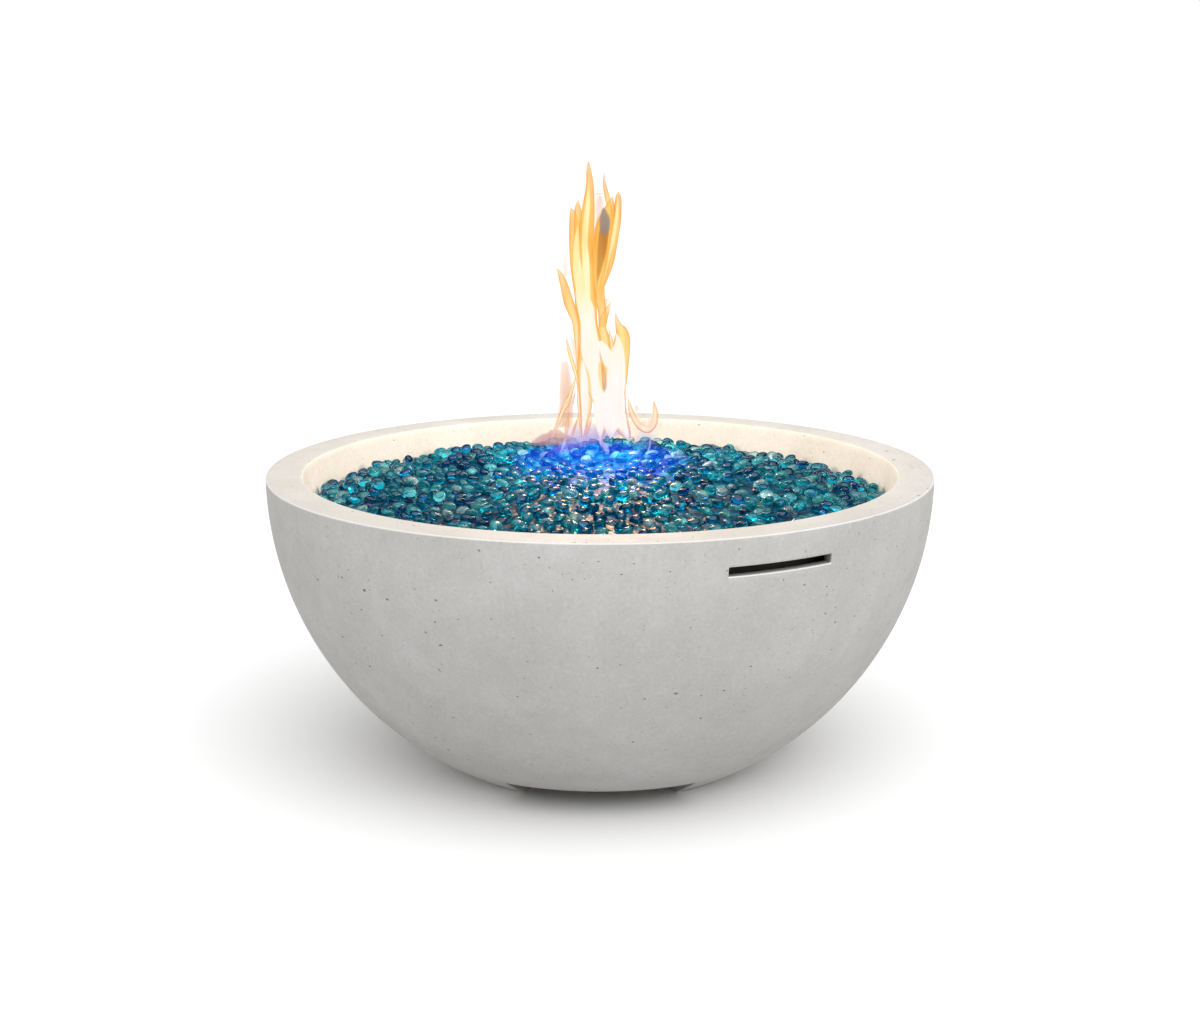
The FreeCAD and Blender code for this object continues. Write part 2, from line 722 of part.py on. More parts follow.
# --- Fire glass, held in the pan by the collar ---
def make_mound(crown, dome_radius):
    """The mound up to the hollows between its top nuggets, with room underneath for the burner."""
    cavity_radius = ring_corner_radius + 2 * tube_radius
    cavity_top = tube_height + tube_radius + hub_cap + glass_gap
    lip_inside = collar_radius_at(ledge_top) - pan_clearance - pan_wall - glass_gap
    lip_top = ledge_top + pan_lip_height + glass_gap
    block = turned_polygon([
        (0, cavity_top),
        (cavity_radius, cavity_top),
        (cavity_radius, pan_top),
        (lip_inside - pan_bend_radius, pan_top),
        (lip_inside, pan_top + pan_bend_radius),
        (lip_inside, lip_top),
        (collar_radius_at(lip_top) - glass_gap, lip_top),
        (collar_radius_at(crown) - glass_gap, crown),
        (0, crown),
    ])
    return block.common(Part.makeSphere(dome_radius, section_point(0, crown - dome_radius)))


def nuggets_on(crown, reach, dome_radius):
    """The nuggets that stand out of the mound, spread evenly over it in a sunflower's spiral."""
    nuggets = []
    spread = nugget_spacing / math.sqrt(math.pi)
    centre_distance = dome_radius + nugget_rise - nugget_radius
    for k in range(int((reach / spread) ** 2) + 1):
        out = spread * math.sqrt(k)
        turn = math.radians(k * nugget_turn)
        height = crown - dome_radius + math.sqrt(centre_distance**2 - out**2)
        middle = FreeCAD.Vector(out * math.cos(turn), out * math.sin(turn), height)
        nuggets.append(Part.makeSphere(nugget_radius, middle))
    return nuggets


def make_glass():
    """One closed body for the whole mound."""
    crown = bowl_height + glass_crown - nugget_rise
    edge_height = bowl_height - glass_edge_drop - nugget_rise
    edge_radius = collar_radius_at(edge_height) - glass_gap
    rise = crown - edge_height
    dome_radius = (edge_radius**2 + rise**2) / (2 * rise)
    reach = collar_radius_at(edge_height - 2 * nugget_radius) - nugget_radius - 2 * glass_gap
    return make_mound(crown, dome_radius).fuse(nuggets_on(crown, reach, dome_radius))


save("fire_glass", make_glass())
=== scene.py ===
import math

import bmesh
import bpy
import numpy as np
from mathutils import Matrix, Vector


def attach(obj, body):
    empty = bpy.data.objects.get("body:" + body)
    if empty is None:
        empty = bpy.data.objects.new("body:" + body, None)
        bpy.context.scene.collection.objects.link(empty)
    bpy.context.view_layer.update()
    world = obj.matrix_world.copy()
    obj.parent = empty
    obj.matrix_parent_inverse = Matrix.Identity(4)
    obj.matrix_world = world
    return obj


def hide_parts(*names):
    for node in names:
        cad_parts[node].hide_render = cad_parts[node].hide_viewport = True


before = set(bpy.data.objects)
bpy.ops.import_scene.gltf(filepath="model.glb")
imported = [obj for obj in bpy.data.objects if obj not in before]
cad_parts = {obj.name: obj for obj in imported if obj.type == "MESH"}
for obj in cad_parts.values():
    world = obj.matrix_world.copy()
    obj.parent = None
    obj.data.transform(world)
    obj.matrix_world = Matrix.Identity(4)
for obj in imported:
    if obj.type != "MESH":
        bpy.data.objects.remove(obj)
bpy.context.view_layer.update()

# --- Studio: camera, pale floor, white surroundings and soft lamps ---
# A plain white sweep with large soft lamps overhead and in front and weaker ones low on the front right and
# the left. The floor keeps the bowl's shadow, and the far floor and the surroundings are one white, so that
# no horizon shows.
mm = 0.001
scene = bpy.context.scene
scene.view_settings.view_transform = "Standard"


def put_in_scene(name, data):
    made = bpy.data.objects.new(name, data)
    scene.collection.objects.link(made)
    return made


camera_data = bpy.data.cameras.new("studio_camera")
camera_data.sensor_width = 36.0
camera_data.lens = 62.43
camera = put_in_scene("studio_camera", camera_data)
camera.location = (0.0, -2.8246, 0.9666)
camera_aim = Vector((0.0, 0.0, 0.3492))
camera.rotation_euler = (camera_aim - camera.location).to_track_quat("-Z", "Y").to_euler()
scene.camera = camera


def linear(code):
    """An sRGB hex colour as the linear colour that shader sockets take."""
    parts = [int(code[k:k + 2], 16) / 255 for k in (1, 3, 5)]
    return [c / 12.92 if c <= 0.04045 else ((c + 0.055) / 1.055) ** 2.4 for c in parts] + [1.0]


def add(tree, kind, *inputs, stops=(), **settings):
    """Adds a shader node with its settings and inputs. Inputs follow the order of its open sockets, or stand
    in a dict by name, and each is a value, a hex colour, a socket or the node whose first output is meant.
    The stops of a ramp are pairs of place and colour, in hex or as a share of white."""
    made = tree.nodes.new("ShaderNode" + kind)
    for name, value in settings.items():
        setattr(made, name, value)
    open_sockets = [socket for socket in made.inputs if socket.enabled]
    given = []
    for k, value in enumerate(inputs):
        if isinstance(value, dict):
            given += [(made.inputs[name], entry) for name, entry in value.items()]
        else:
            given.append((open_sockets[k], value))
    for socket, value in given:
        if isinstance(value, bpy.types.Node):
            value = next(output for output in value.outputs if output.enabled)
        if isinstance(value, bpy.types.NodeSocket):
            tree.links.new(value, socket)
        else:
            socket.default_value = linear(value) if isinstance(value, str) else value
    while stops and len(made.color_ramp.elements) < len(stops):
        made.color_ramp.elements.new(1.0)
    for k, (spot, colour) in enumerate(stops):
        stop = made.color_ramp.elements[k]
        stop.position = spot
        stop.color = linear(colour) if isinstance(colour, str) else [colour] * 3 + [1.0]
    return made


def new_material(name):
    """An empty material and its node tree."""
    material = bpy.data.materials.new(name)
    material.use_nodes = True
    material.node_tree.nodes.clear()
    return material, material.node_tree


def sees_surroundings(tree):
    """1 on the rays that show the white surroundings: straight, mirrored and refracted ones."""
    path = add(tree, "LightPath").outputs
    mirrored = add(tree, "Math", path["Is Camera Ray"], path["Is Glossy Ray"], operation="MAXIMUM")
    return add(tree, "Math", mirrored, path["Is Transmission Ray"], operation="MAXIMUM")


# White surroundings: full white to the eye and in the glass, and dimmer as a light, so that the lamps shape
# the bowl.
world = bpy.data.worlds.new("studio_surroundings")
world.use_nodes = True
tree = world.node_tree
tree.nodes.clear()
soft_fill = add(tree, "Background", "#ffffff", 0.62)
white_sweep = add(tree, "Background", "#ffffff", 1.0)
add(tree, "OutputWorld", add(tree, "MixShader", sees_surroundings(tree), soft_fill, white_sweep))
scene.world = world

# Painted floor: matt white to the eye, a pale grey to the light that it throws back. It lies a hair below the
# feet.
floor_paint, tree = new_material("matt_floor_paint")
grey_bounce = add(tree, "BsdfDiffuse", "#d0d0d0")
white_paint = add(tree, "BsdfDiffuse", "#ffffff")
add(tree, "OutputMaterial", add(tree, "MixShader", sees_surroundings(tree), grey_bounce, white_paint))
floor_half = 40.0
floor_drop = 0.3 * mm
floor_data = bpy.data.meshes.new("studio_floor")
floor_data.from_pydata([(x * floor_half, y * floor_half, 0) for x, y in ((-1, -1), (1, -1), (1, 1), (-1, 1))],
                       [], [(0, 1, 2, 3)])
floor_data.materials.append(floor_paint)
studio_floor = put_in_scene("studio_floor", floor_data)
studio_floor.location.z = -floor_drop


def ring_faces(rings, count):
    """The faces between rings of points that follow each other, with as many points in each."""
    return [(r * count + k, r * count + (k + 1) % count, (r + 1) * count + (k + 1) % count,
             (r + 1) * count + k) for r in range(rings - 1) for k in range(count)]


# Black felt flags: a ring of them far out of the camera's view, seen only in mirrored light, so that the
# glass keeps dark edges in the white room. The nap of felt is under 1 mm and is drawn 25 mm wide, the least
# that could show.
black_felt, tree = new_material("black_felt_flags")
nap = add(tree, "TexNoise", add(tree, "TexCoord").outputs["Object"], 1 / (25 * mm))
nap = add(tree, "MapRange", nap, {"To Min": 0.008, "To Max": 0.02})
add(tree, "OutputMaterial", add(tree, "BsdfDiffuse", nap))
flag_distance, flag_height, flag_count = 6.0, 7.5, 48
bearings = [2 * math.pi * k / flag_count for k in range(flag_count)]
flag_data = bpy.data.meshes.new("studio_flags")
flag_data.from_pydata([(flag_distance * math.cos(a), flag_distance * math.sin(a), z)
                       for z in (0.0, flag_height) for a in bearings], [], ring_faces(2, flag_count))
flag_data.materials.append(black_felt)
studio_flags = put_in_scene("studio_flags", flag_data)
for seen_by in ("camera", "diffuse", "transmission", "volume_scatter", "shadow"):
    setattr(studio_flags, "visible_" + seen_by, False)


def add_lamp(name, kind, power, colour, **settings):
    lamp = bpy.data.lights.new(name, kind)
    lamp.energy = power
    lamp.color = linear(colour)[:3]
    for setting, value in settings.items():
        setattr(lamp, setting, value)
    made = put_in_scene(name, lamp)
    made.visible_camera = False
    return made


for name, level, angle, towards in (
    ("overhead_softbox", 0.20, 80, (0.25, -0.15, 1.0)),
    ("front_softbox", 0.35, 60, (0.22, -0.70, 1.0)),
    ("front_right_softbox", 0.15, 60, (0.60, -0.80, 0.35)),
    ("left_softbox", 0.11, 90, (-1.0, -0.15, 0.45)),
):
    softbox = add_lamp(name, "SUN", level * math.pi, "#ffffff", angle=math.radians(angle))
    softbox.rotation_euler = Vector(towards).to_track_quat("Z", "Y").to_euler()

# --- Bowl: glass-fibre concrete, one casting ---
# A hemisphere cut flat for its base, cast upside down in a smooth mould, with a flat rim, a drafted collar
# with a ledge for the pan, an open hollow behind the collar, vent slots and three feet that carry on the
# sphere.

# Its sizes, in millimetres, and the slots' bearings, in degrees.
bowl_radius = 457.2
bowl_height = 409.0
rim_width = 49.5
rim_underside = 389.0
collar_slope = math.tan(math.radians(7.0))
ledge_top = 330.0
ledge_bottom = 314.0
ledge_front = 26.0
ledge_ease = 1.0
collar_wall = 14.0
shell_wall = 15.5
floor_top = 49.0
foot_height = 29.0
gas_hole = 76.0
hole_ease = 1.5
foot_inside = 120.0
slot_half_width = 74.0
slot_half_height = 6.0
slot_corner = 2.0
slot_ease = 1.0
slot_middle = 367.0
slot_turns = (-61.0, 119.0)
edge_ease = 2.0
hem = foot_height + 4.0
rim_inside = bowl_radius - rim_width


def sphere_radius(z, shell=bowl_radius):
    return np.sqrt(shell**2 - (bowl_height - z) ** 2)


def collar_radius(z):
    return rim_inside - (bowl_height - z) * collar_slope


def between(start, end, count):
    """Points on a straight run, with its start and without its end."""
    return [(start[0] + (end[0] - start[0]) * k / count, start[1] + (end[1] - start[1]) * k / count)
            for k in range(count)]


def corner(middle, radius, start, end, count):
    """Points on a rounded corner about its middle, from one angle in degrees to the other."""
    turns = [math.radians(start + (end - start) * k / count) for k in range(count)]
    return [(middle[0] + radius * math.cos(a), middle[1] + radius * math.sin(a)) for a in turns]


def up_the_sphere(low, high, count, shell=bowl_radius):
    """Points on the sphere's section between two heights."""
    first, last = (math.asin((z - bowl_height) / shell) for z in (low, high))
    turns = [first + (last - first) * k / count for k in range(count)]
    return [(shell * math.cos(a), bowl_height + shell * math.sin(a)) for a in turns]


# The section, from the hem over the feet up the outside, over the rim, down the collar, round its ledge, up
# behind it and down inside the shell to the floor and the gas hole. Three rows of points lie close together
# at each long edge of the slots.
slot_heights = [slot_middle + side * (slot_half_height + slot_ease - drop)
                for side, drops in ((-1, (0.0, 1.5, 3.0)), (1, (3.0, 1.5, 0.0))) for drop in drops]
rim_top = bowl_height - edge_ease
section = up_the_sphere(hem, slot_heights[0], 62)
outer_slot_rows = [len(section) + k for k in range(len(slot_heights))]
section += [(float(sphere_radius(z)), z) for z in slot_heights]
section += up_the_sphere(slot_heights[-1] + 3.0, rim_top, 7)
section += corner((bowl_radius - edge_ease, rim_top), edge_ease, 0, 90, 5)
section += between((bowl_radius - edge_ease, bowl_height), (rim_inside + edge_ease, bowl_height), 10)
section += corner((rim_inside + edge_ease, rim_top), edge_ease, 90, 183, 5)
section += between((collar_radius(rim_top), rim_top), (collar_radius(ledge_top), ledge_top), 12)
ledge_reach = collar_radius(ledge_top) - ledge_front
section += between((collar_radius(ledge_top), ledge_top), (ledge_reach + ledge_ease, ledge_top), 4)
section += [(ledge_reach + ledge_ease, ledge_top), (ledge_reach, ledge_top - ledge_ease),
            (ledge_reach, ledge_bottom + ledge_ease)]
section += between((ledge_reach + ledge_ease, ledge_bottom),
                   (collar_radius(ledge_bottom) + collar_wall, ledge_bottom), 5)
section += between((collar_radius(ledge_bottom) + collar_wall, ledge_bottom),
                   (collar_radius(rim_underside) + collar_wall, rim_underside), 8)
inside_shell = bowl_radius - shell_wall
section += between((collar_radius(rim_underside) + collar_wall, rim_underside),
                   (float(sphere_radius(rim_underside, inside_shell)), rim_underside), 3)
section += up_the_sphere(rim_underside, slot_heights[-1], 3, inside_shell)
inner_slot_rows = [len(section) + k for k in range(len(slot_heights))]
section += [(float(sphere_radius(z, inside_shell)), z) for z in reversed(slot_heights)]
section += up_the_sphere(slot_heights[0] - 4.0, floor_top, 40, inside_shell)
section += between((float(sphere_radius(floor_top, inside_shell)), floor_top),
                   (gas_hole + hole_ease, floor_top), 14)
section += [(gas_hole + hole_ease, floor_top), (gas_hole, floor_top - hole_ease),
            (gas_hole, foot_height + hole_ease)]
section += between((gas_hole + hole_ease, foot_height), (foot_inside, foot_height), 4)


def foot_outline(inset):
    """The closing part of the section through a foot, from the floor's underside round to the hem."""
    inner = foot_inside + min(inset, 3.0)
    sole = 0.6 * inset
    shell = bowl_radius - inset
    ease = 1.2
    low = sole + ease
    toe = float(sphere_radius(low, shell))
    sole_edge = toe - 2 * ease
    heel = [(foot_inside, foot_height)] + between((inner, foot_height - 0.5), (inner, sole + ease), 5)
    sides = corner((inner + ease, sole + ease), ease, 180, 270, 3)
    sides += between((inner + ease, sole), (sole_edge, sole), 9)
    toes = [(sole_edge, sole), (toe - 0.9, sole + 0.35)] + up_the_sphere(low, foot_height - 0.6, 8, shell)
    top = [(float(sphere_radius(foot_height - 0.3, shell)), foot_height - 0.3)]
    return heel + sides + toes + top + up_the_sphere(foot_height + 0.9, hem, 4)


def gap_outline(count):
    """The same part of the section between two feet: the floor's underside and the eased lip."""
    lip = float(sphere_radius(foot_height)) - 1.5
    under = between((foot_inside, foot_height), (lip, foot_height), count - 5)
    eased = [(lip, foot_height), (lip + 1.6, foot_height + 0.25)]
    return under + eased + up_the_sphere(foot_height + 1.4, hem, 3)


# The columns, each a bearing and how far a foot's skin is drawn in there to round the edges of its side
# walls. Between the feet there is no inset. Each end of a slot gets three columns close together.
foot_insets = ((0.0, 0.8), (0.02, 0.5), (0.05, 0.28), (0.09, 0.12), (0.15, 0.03), (0.34, 0.0))
columns = []
for boundary in range(-180, 180, 60):
    is_foot = (boundary + 180) % 120 == 0
    if is_foot:
        columns += [(boundary + turn, inset) for turn, inset in foot_insets]
        columns += [(boundary + step, 0.0) for step in np.arange(1.5, 58.6, 1.0)]
        columns += [(boundary + 60 - turn, inset) for turn, inset in reversed(foot_insets)]
    else:
        columns += [(boundary + step, None) for step in [0.0] + list(np.arange(1.0, 59.1, 1.0)) + [60.0]]
slot_edge_turns = [math.degrees(math.asin(x / bowl_radius)) for x in (75.3, 73.6, 72.0)]
round_slot, too_close = 11.0, 0.45
for turn in slot_turns:
    keep = [c for c in columns if abs(c[0] - turn) < round_slot and not any(
        abs(abs(c[0] - turn) - edge) < too_close for edge in slot_edge_turns)]
    rest = [c for c in columns if abs(c[0] - turn) >= round_slot]
    nearest = {side: min(columns, key=lambda c: abs(c[0] - turn - side * slot_edge_turns[0]))[1]
               for side in (-1, 1)}
    keep += [(turn + side * edge, nearest[side]) for side in (-1, 1) for edge in slot_edge_turns]
    columns = rest + keep
columns.sort(key=lambda c: c[0])

lower_count = len(foot_outline(0.0))
grid = []
for turn, inset in columns:
    profile = np.array(section + (gap_outline(lower_count) if inset is None else foot_outline(inset)), float)
    bearing = math.radians(turn)
    grid.append(np.column_stack((profile[:, 0] * math.cos(bearing), profile[:, 0] * math.sin(bearing),
                                 profile[:, 1])))
grid = np.array(grid)
column_count, row_count = grid.shape[:2]


def slot_point(turn, across, height, shell, depth):
    """A point across a slot, measured along its straight walls from one of the shell's two surfaces."""
    out = math.sqrt(shell**2 - (height - bowl_height) ** 2 - across**2) + depth
    a = math.radians(turn)
    return (math.cos(a) * out - math.sin(a) * across, math.sin(a) * out + math.cos(a) * across, height)


def slot_outline(across, up):
    """The point of the slot's rounded outline that a point of the square hole round it is drawn to."""
    u = across * slot_half_width / (slot_half_width + slot_ease)
    v = up * slot_half_height / (slot_half_height + slot_ease)
    over_u = abs(u) - (slot_half_width - slot_corner)
    over_v = abs(v) - (slot_half_height - slot_corner)
    if over_u > 0 and over_v > 0:
        reach = slot_corner / math.hypot(over_u, over_v)
        u = math.copysign(slot_half_width - slot_corner + over_u * reach, u)
        v = math.copysign(slot_half_height - slot_corner + over_v * reach, v)
    return u, v


# The slots: a square hole is left in both skins, and four strips of points lead from its edge, over the eased
# and rounded edges of the slot, to the hole in the other skin.
skipped = set()
loops = []
for turn in slot_turns:
    across = [k for k in range(column_count) if abs(columns[k][0] - turn) < slot_edge_turns[0] + 1e-6]
    low, high = outer_slot_rows[0], outer_slot_rows[-1]
    mirror = inner_slot_rows[0] + outer_slot_rows[-1]
    ring = [(k, low) for k in across] + [(across[-1], r) for r in outer_slot_rows[1:]]
    ring += [(k, high) for k in reversed(across[:-1])]
    ring += [(across[0], r) for r in reversed(outer_slot_rows[1:-1])]
    for k in across:
        for row in outer_slot_rows:
            wide = math.sin(math.radians(columns[k][0] - turn)) * math.hypot(*grid[k, row, :2])
            grid[k, mirror - row] = slot_point(turn, wide, grid[k, row, 2], inside_shell, 0.0)
    for k in across[:-1]:
        skipped |= {(k, r) for r in list(range(low, high)) + list(range(mirror - high, mirror - low))}
    strips = [[] for _ in range(4)]
    for k, row in ring:
        wide = math.sin(math.radians(columns[k][0] - turn)) * math.hypot(*grid[k, row, :2])
        up = grid[k, row, 2] - slot_middle
        u, v = slot_outline(wide, up)
        half_u, half_v = 0.7 * u + 0.3 * wide, 0.7 * v + 0.3 * up
        for strip, (x, z, shell, depth) in zip(strips, (
                (half_u, half_v, bowl_radius, -0.3), (u, v, bowl_radius, -slot_ease),
                (u, v, inside_shell, slot_ease), (half_u, half_v, inside_shell, 0.3))):
            strip.append(slot_point(turn, x, slot_middle + z, shell, depth))
    loops.append(([k * row_count + r for k, r in ring], strips,
                  [k * row_count + mirror - r for k, r in ring]))

points = [tuple(p) for p in grid.reshape(-1, 3)]
faces = []
for k in range(column_count):
    beside = (k + 1) % column_count
    for r in range(row_count):
        if (k, r) not in skipped:
            above = (r + 1) % row_count
            faces.append((k * row_count + r, beside * row_count + r, beside * row_count + above,
                          k * row_count + above))
for outer_ring, strips, inner_ring in loops:
    rings = [outer_ring]
    for strip in strips:
        rings.append(list(range(len(points), len(points) + len(strip))))
        points += strip
    rings.append(inner_ring)
    for first, second in zip(rings, rings[1:]):
        for k in range(len(first)):
            after = (k + 1) % len(first)
            faces.append((first[k], first[after], second[after], second[k]))


def finish_mesh(data, sharp_angle):
    """Joins coincident points, turns the faces outwards and smooths all but the sharp edges."""
    shape = bmesh.new()
    shape.from_mesh(data)
    bmesh.ops.remove_doubles(shape, verts=shape.verts, dist=2e-6)
    bmesh.ops.recalc_face_normals(shape, faces=shape.faces)
    shape.to_mesh(data)
    shape.free()
    data.shade_smooth()
    data.set_sharp_from_angle(angle=math.radians(sharp_angle))


def new_piece(name, points, faces, material, body="fire_bowl"):
    """A piece from points in millimetres, riding on its body and wearing its material."""
    data = bpy.data.meshes.new(name)
    data.from_pydata(np.asarray(points) * mm, [], faces)
    data.materials.append(material)
    made = put_in_scene(name, data)
    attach(made, body)
    return made


def from_axis(tree, place):
    """Distance from the bowl's upright axis."""
    flat = add(tree, "VectorMath", place, (1.0, 1.0, 0.0), operation="MULTIPLY")
    return add(tree, "VectorMath", flat, operation="LENGTH")


# Sealed concrete: pale, with hardly any gloss. The mix and the release oil leave clouds 111 mm across and
# patches of 26 mm, and stray sand makes specks of 4.4 mm. The sand's own grain, under 1 mm, is drawn 1.6 mm
# wide, because finer grain wouldn't show.
concrete, tree = new_material("sealed_cast_concrete")
place = add(tree, "TexCoord").outputs["Object"]
clouds = add(tree, "TexNoise", place, 1 / (111.1 * mm), 4.0, 0.55, {"Distortion": 0.3})
patches = add(tree, "TexNoise", place, 1 / (26.32 * mm), 5.0, 0.6)
specks = add(tree, "TexNoise", place, 1 / (4.348 * mm))
grain = add(tree, "TexNoise", place, 1 / (1.613 * mm), 3.0, 0.7)
cement = add(tree, "ValToRGB", clouds, stops=((0.30, "#c0bebb"), (0.52, "#c7c5c2"), (0.72, "#cecccb")))
for pattern, least, most, share, tone in (
    (patches, 0.42, 0.75, 0.35, "#b8b6b2"),
    (grain, 0.52, 0.78, 0.42, "#a5a29d"),
    (specks, 0.54, 0.70, 0.20, "#a9a7a2"),
    (specks, 0.46, 0.32, 0.20, "#dddbd8"),
):
    cement = add(tree, "Mix", add(tree, "MapRange", pattern, least, most, 0.0, share), cement, tone,
                 data_type="RGBA")

# Bubble pits: air caught against the mould, in cells 6, 14 and 32 mm apart. A pit is at most a quarter of its
# cell wide and mostly far less, and the larger ones are a little flattened and ragged.
ragged = add(tree, "TexNoise", place, 1 / (3.846 * mm)).outputs["Color"]
ragged = add(tree, "VectorMath", ragged, 3 * mm, operation="SCALE")
ragged = add(tree, "VectorMath", place, ragged, operation="ADD")
pit = 0.0
for spacing, widest, rarity, squash in ((6, 0.14, 1.8, 1.0), (14, 0.14, 1.8, 1.5), (32, 0.10, 1.5, 1.8)):
    flattened = add(tree, "VectorMath", ragged, (1.0, 1.0, squash), operation="MULTIPLY")
    cells = add(tree, "TexVoronoi", flattened, 1 / (spacing * mm)).outputs
    chance = add(tree, "Math", add(tree, "SeparateColor", cells["Color"]), rarity, operation="POWER")
    radius = add(tree, "Math", chance, widest, operation="MULTIPLY")
    outside = add(tree, "Math", cells["Distance"], radius, operation="SUBTRACT")
    pit = add(tree, "Math", add(tree, "MapRange", outside, -0.03, 0.0, 1.0, 0.0), pit, operation="MAXIMUM")
# Painted shade: each pit is drawn dark, as the shade inside the hollow.
painted_pit_shade = add(tree, "Math", pit, 0.78, operation="MULTIPLY")
cement = add(tree, "Mix", painted_pit_shade, cement, "#625f5a", data_type="RGBA")

# Painted light: the lowest 70 mm is drawn paler, as painted light on the shaded underside of the shell, and
# the rim's outer edge and the sill of the front slot are drawn paler, as painted highlights.
height = add(tree, "SeparateXYZ", place).outputs["Z"]
# Painted light: paler over the lowest 70 mm.
painted_underside_light = add(tree, "MapRange", height, 4 * mm, 70 * mm, 0.75, 0.0)
cement = add(tree, "Mix", painted_underside_light, cement, "#e6e4e0", data_type="RGBA")
from_middle = from_axis(tree, place)
below_rim = add(tree, "Math", height, bowl_height * mm, operation="SUBTRACT")
from_edge = add(tree, "Math", from_middle, bowl_radius * mm, operation="SUBTRACT")
from_edge = add(tree, "CombineXYZ", {"X": from_edge, "Z": below_rim})
from_edge = add(tree, "VectorMath", from_edge, operation="LENGTH")
# Painted highlight along the rim's outer edge.
painted_edge_highlight = add(tree, "MapRange", from_edge, 1.1 * mm, 2.2 * mm, 0.7, 0.0)
slot_turn = math.radians(slot_turns[0] + 90.0)
along_slot = add(tree, "VectorMath", place, (math.cos(slot_turn), math.sin(slot_turn), 0.0),
                 operation="DOT_PRODUCT")
along_slot = add(tree, "Math", along_slot, operation="ABSOLUTE")
along_slot = add(tree, "MapRange", along_slot, (slot_half_width - 0.5) * mm, (slot_half_width + 0.5) * mm,
                 1.0, 0.0)
# Painted highlight along the sill of the front slot.
slot_sill = slot_middle - slot_half_height - 0.4
painted_sill_highlight = add(tree, "Math", height, slot_sill * mm, operation="SUBTRACT")
painted_sill_highlight = add(tree, "Math", painted_sill_highlight, operation="ABSOLUTE")
painted_sill_highlight = add(tree, "MapRange", painted_sill_highlight, 0.5 * mm, 1.3 * mm, 1.0, 0.0)
painted_sill_highlight = add(tree, "Math", painted_sill_highlight, along_slot, operation="MULTIPLY")
painted_edge_highlight = add(tree, "Math", add(tree, "Math", painted_edge_highlight, painted_sill_highlight, operation="MAXIMUM"), 0.85, operation="MULTIPLY")
cement = add(tree, "Mix", painted_edge_highlight, cement, "#f7f5f2", data_type="RGBA")

# Raw concrete, rough, and drawn dark as painted shade, behind the collar, inside the shell, on the walls of
# the feet and in the slots, where shade falls. Each zone is where all its bands meet, and a band is a length
# in millimetres, the range in which it changes, and its share before and after.
collar_face = add(tree, "Math", below_rim, collar_slope, rim_inside * mm, operation="MULTIPLY_ADD")
behind_collar = add(tree, "Math", from_middle, collar_face, operation="SUBTRACT")
from_centre = add(tree, "VectorMath", place, (0.0, 0.0, bowl_height * mm), operation="DISTANCE")
from_slot = add(tree, "Math", height, slot_middle * mm, operation="SUBTRACT")
from_slot = add(tree, "Math", from_slot, operation="ABSOLUTE")
within_shell = (from_centre, bowl_radius - 15.3, bowl_radius - 14.7, 1.0, 0.0)
painted_recess_shade = 0.0
for bands in (
    ((behind_collar, 6, 8, 0.0, 1.0), within_shell, (height, 388, 391, 1.0, 0.0)),
    ((height, 318, 322, 1.0, 0.0), within_shell),
    ((from_centre, bowl_radius - 1.8, bowl_radius - 0.9, 1.0, 0.0), (height, 29.5, 31, 0.6, 0.0)),
    ((from_centre, bowl_radius - 2.4, bowl_radius - 1.0, 1.0, 0.0),
     (from_centre, bowl_radius - 16.6, bowl_radius - 16.0, 0.0, 1.0), (from_slot, 8, 10, 0.6, 0.0)),
):
    zone = 1.0
    for length, start, end, before, after in bands:
        band = add(tree, "MapRange", length, start * mm, end * mm, before, after)
        zone = add(tree, "Math", band, zone, operation="MULTIPLY")
    painted_recess_shade = add(tree, "Math", zone, painted_recess_shade, operation="MAXIMUM")
# The dark colour that paints the shade in these zones.
shaded_cement = add(tree, "ValToRGB", patches, stops=((0.3, "#4d4b48"), (0.7, "#666460")))
cement = add(tree, "Mix", painted_recess_shade, cement, shaded_cement, data_type="RGBA")

relief = 0.0
for pattern, depth in ((grain, 0.22), (patches, 0.5), (pit, -0.9)):
    relief = add(tree, "Math", pattern, depth, relief, operation="MULTIPLY_ADD")
bump = add(tree, "Bump", {"Height": relief, "Distance": mm, "Strength": 0.7})
rough = add(tree, "MapRange", patches, 0.3, 0.7, 0.72, 0.86)
skin = add(tree, "BsdfPrincipled", {"Base Color": cement, "Roughness": rough, "IOR": 1.5, "Normal": bump})
add(tree, "OutputMaterial", skin)

casting = new_piece("concrete_casting", points, faces, concrete)
finish_mesh(casting.data, 38)
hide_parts("bowl")

# --- Burner pan: spun stainless dish on the bowl's ledge ---
# A dish of stainless sheet, spun on a lathe, that carries the burner and the glass and lies loose on the
# ledge. Its polishing lines run in circles, and over the burner it is warmed to straw and blue.


def finish_nodes(material, *names):
    """Gives CAD nodes their material."""
    for name in names:
        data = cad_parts[name].data
        data.materials.clear()
        data.materials.append(material)


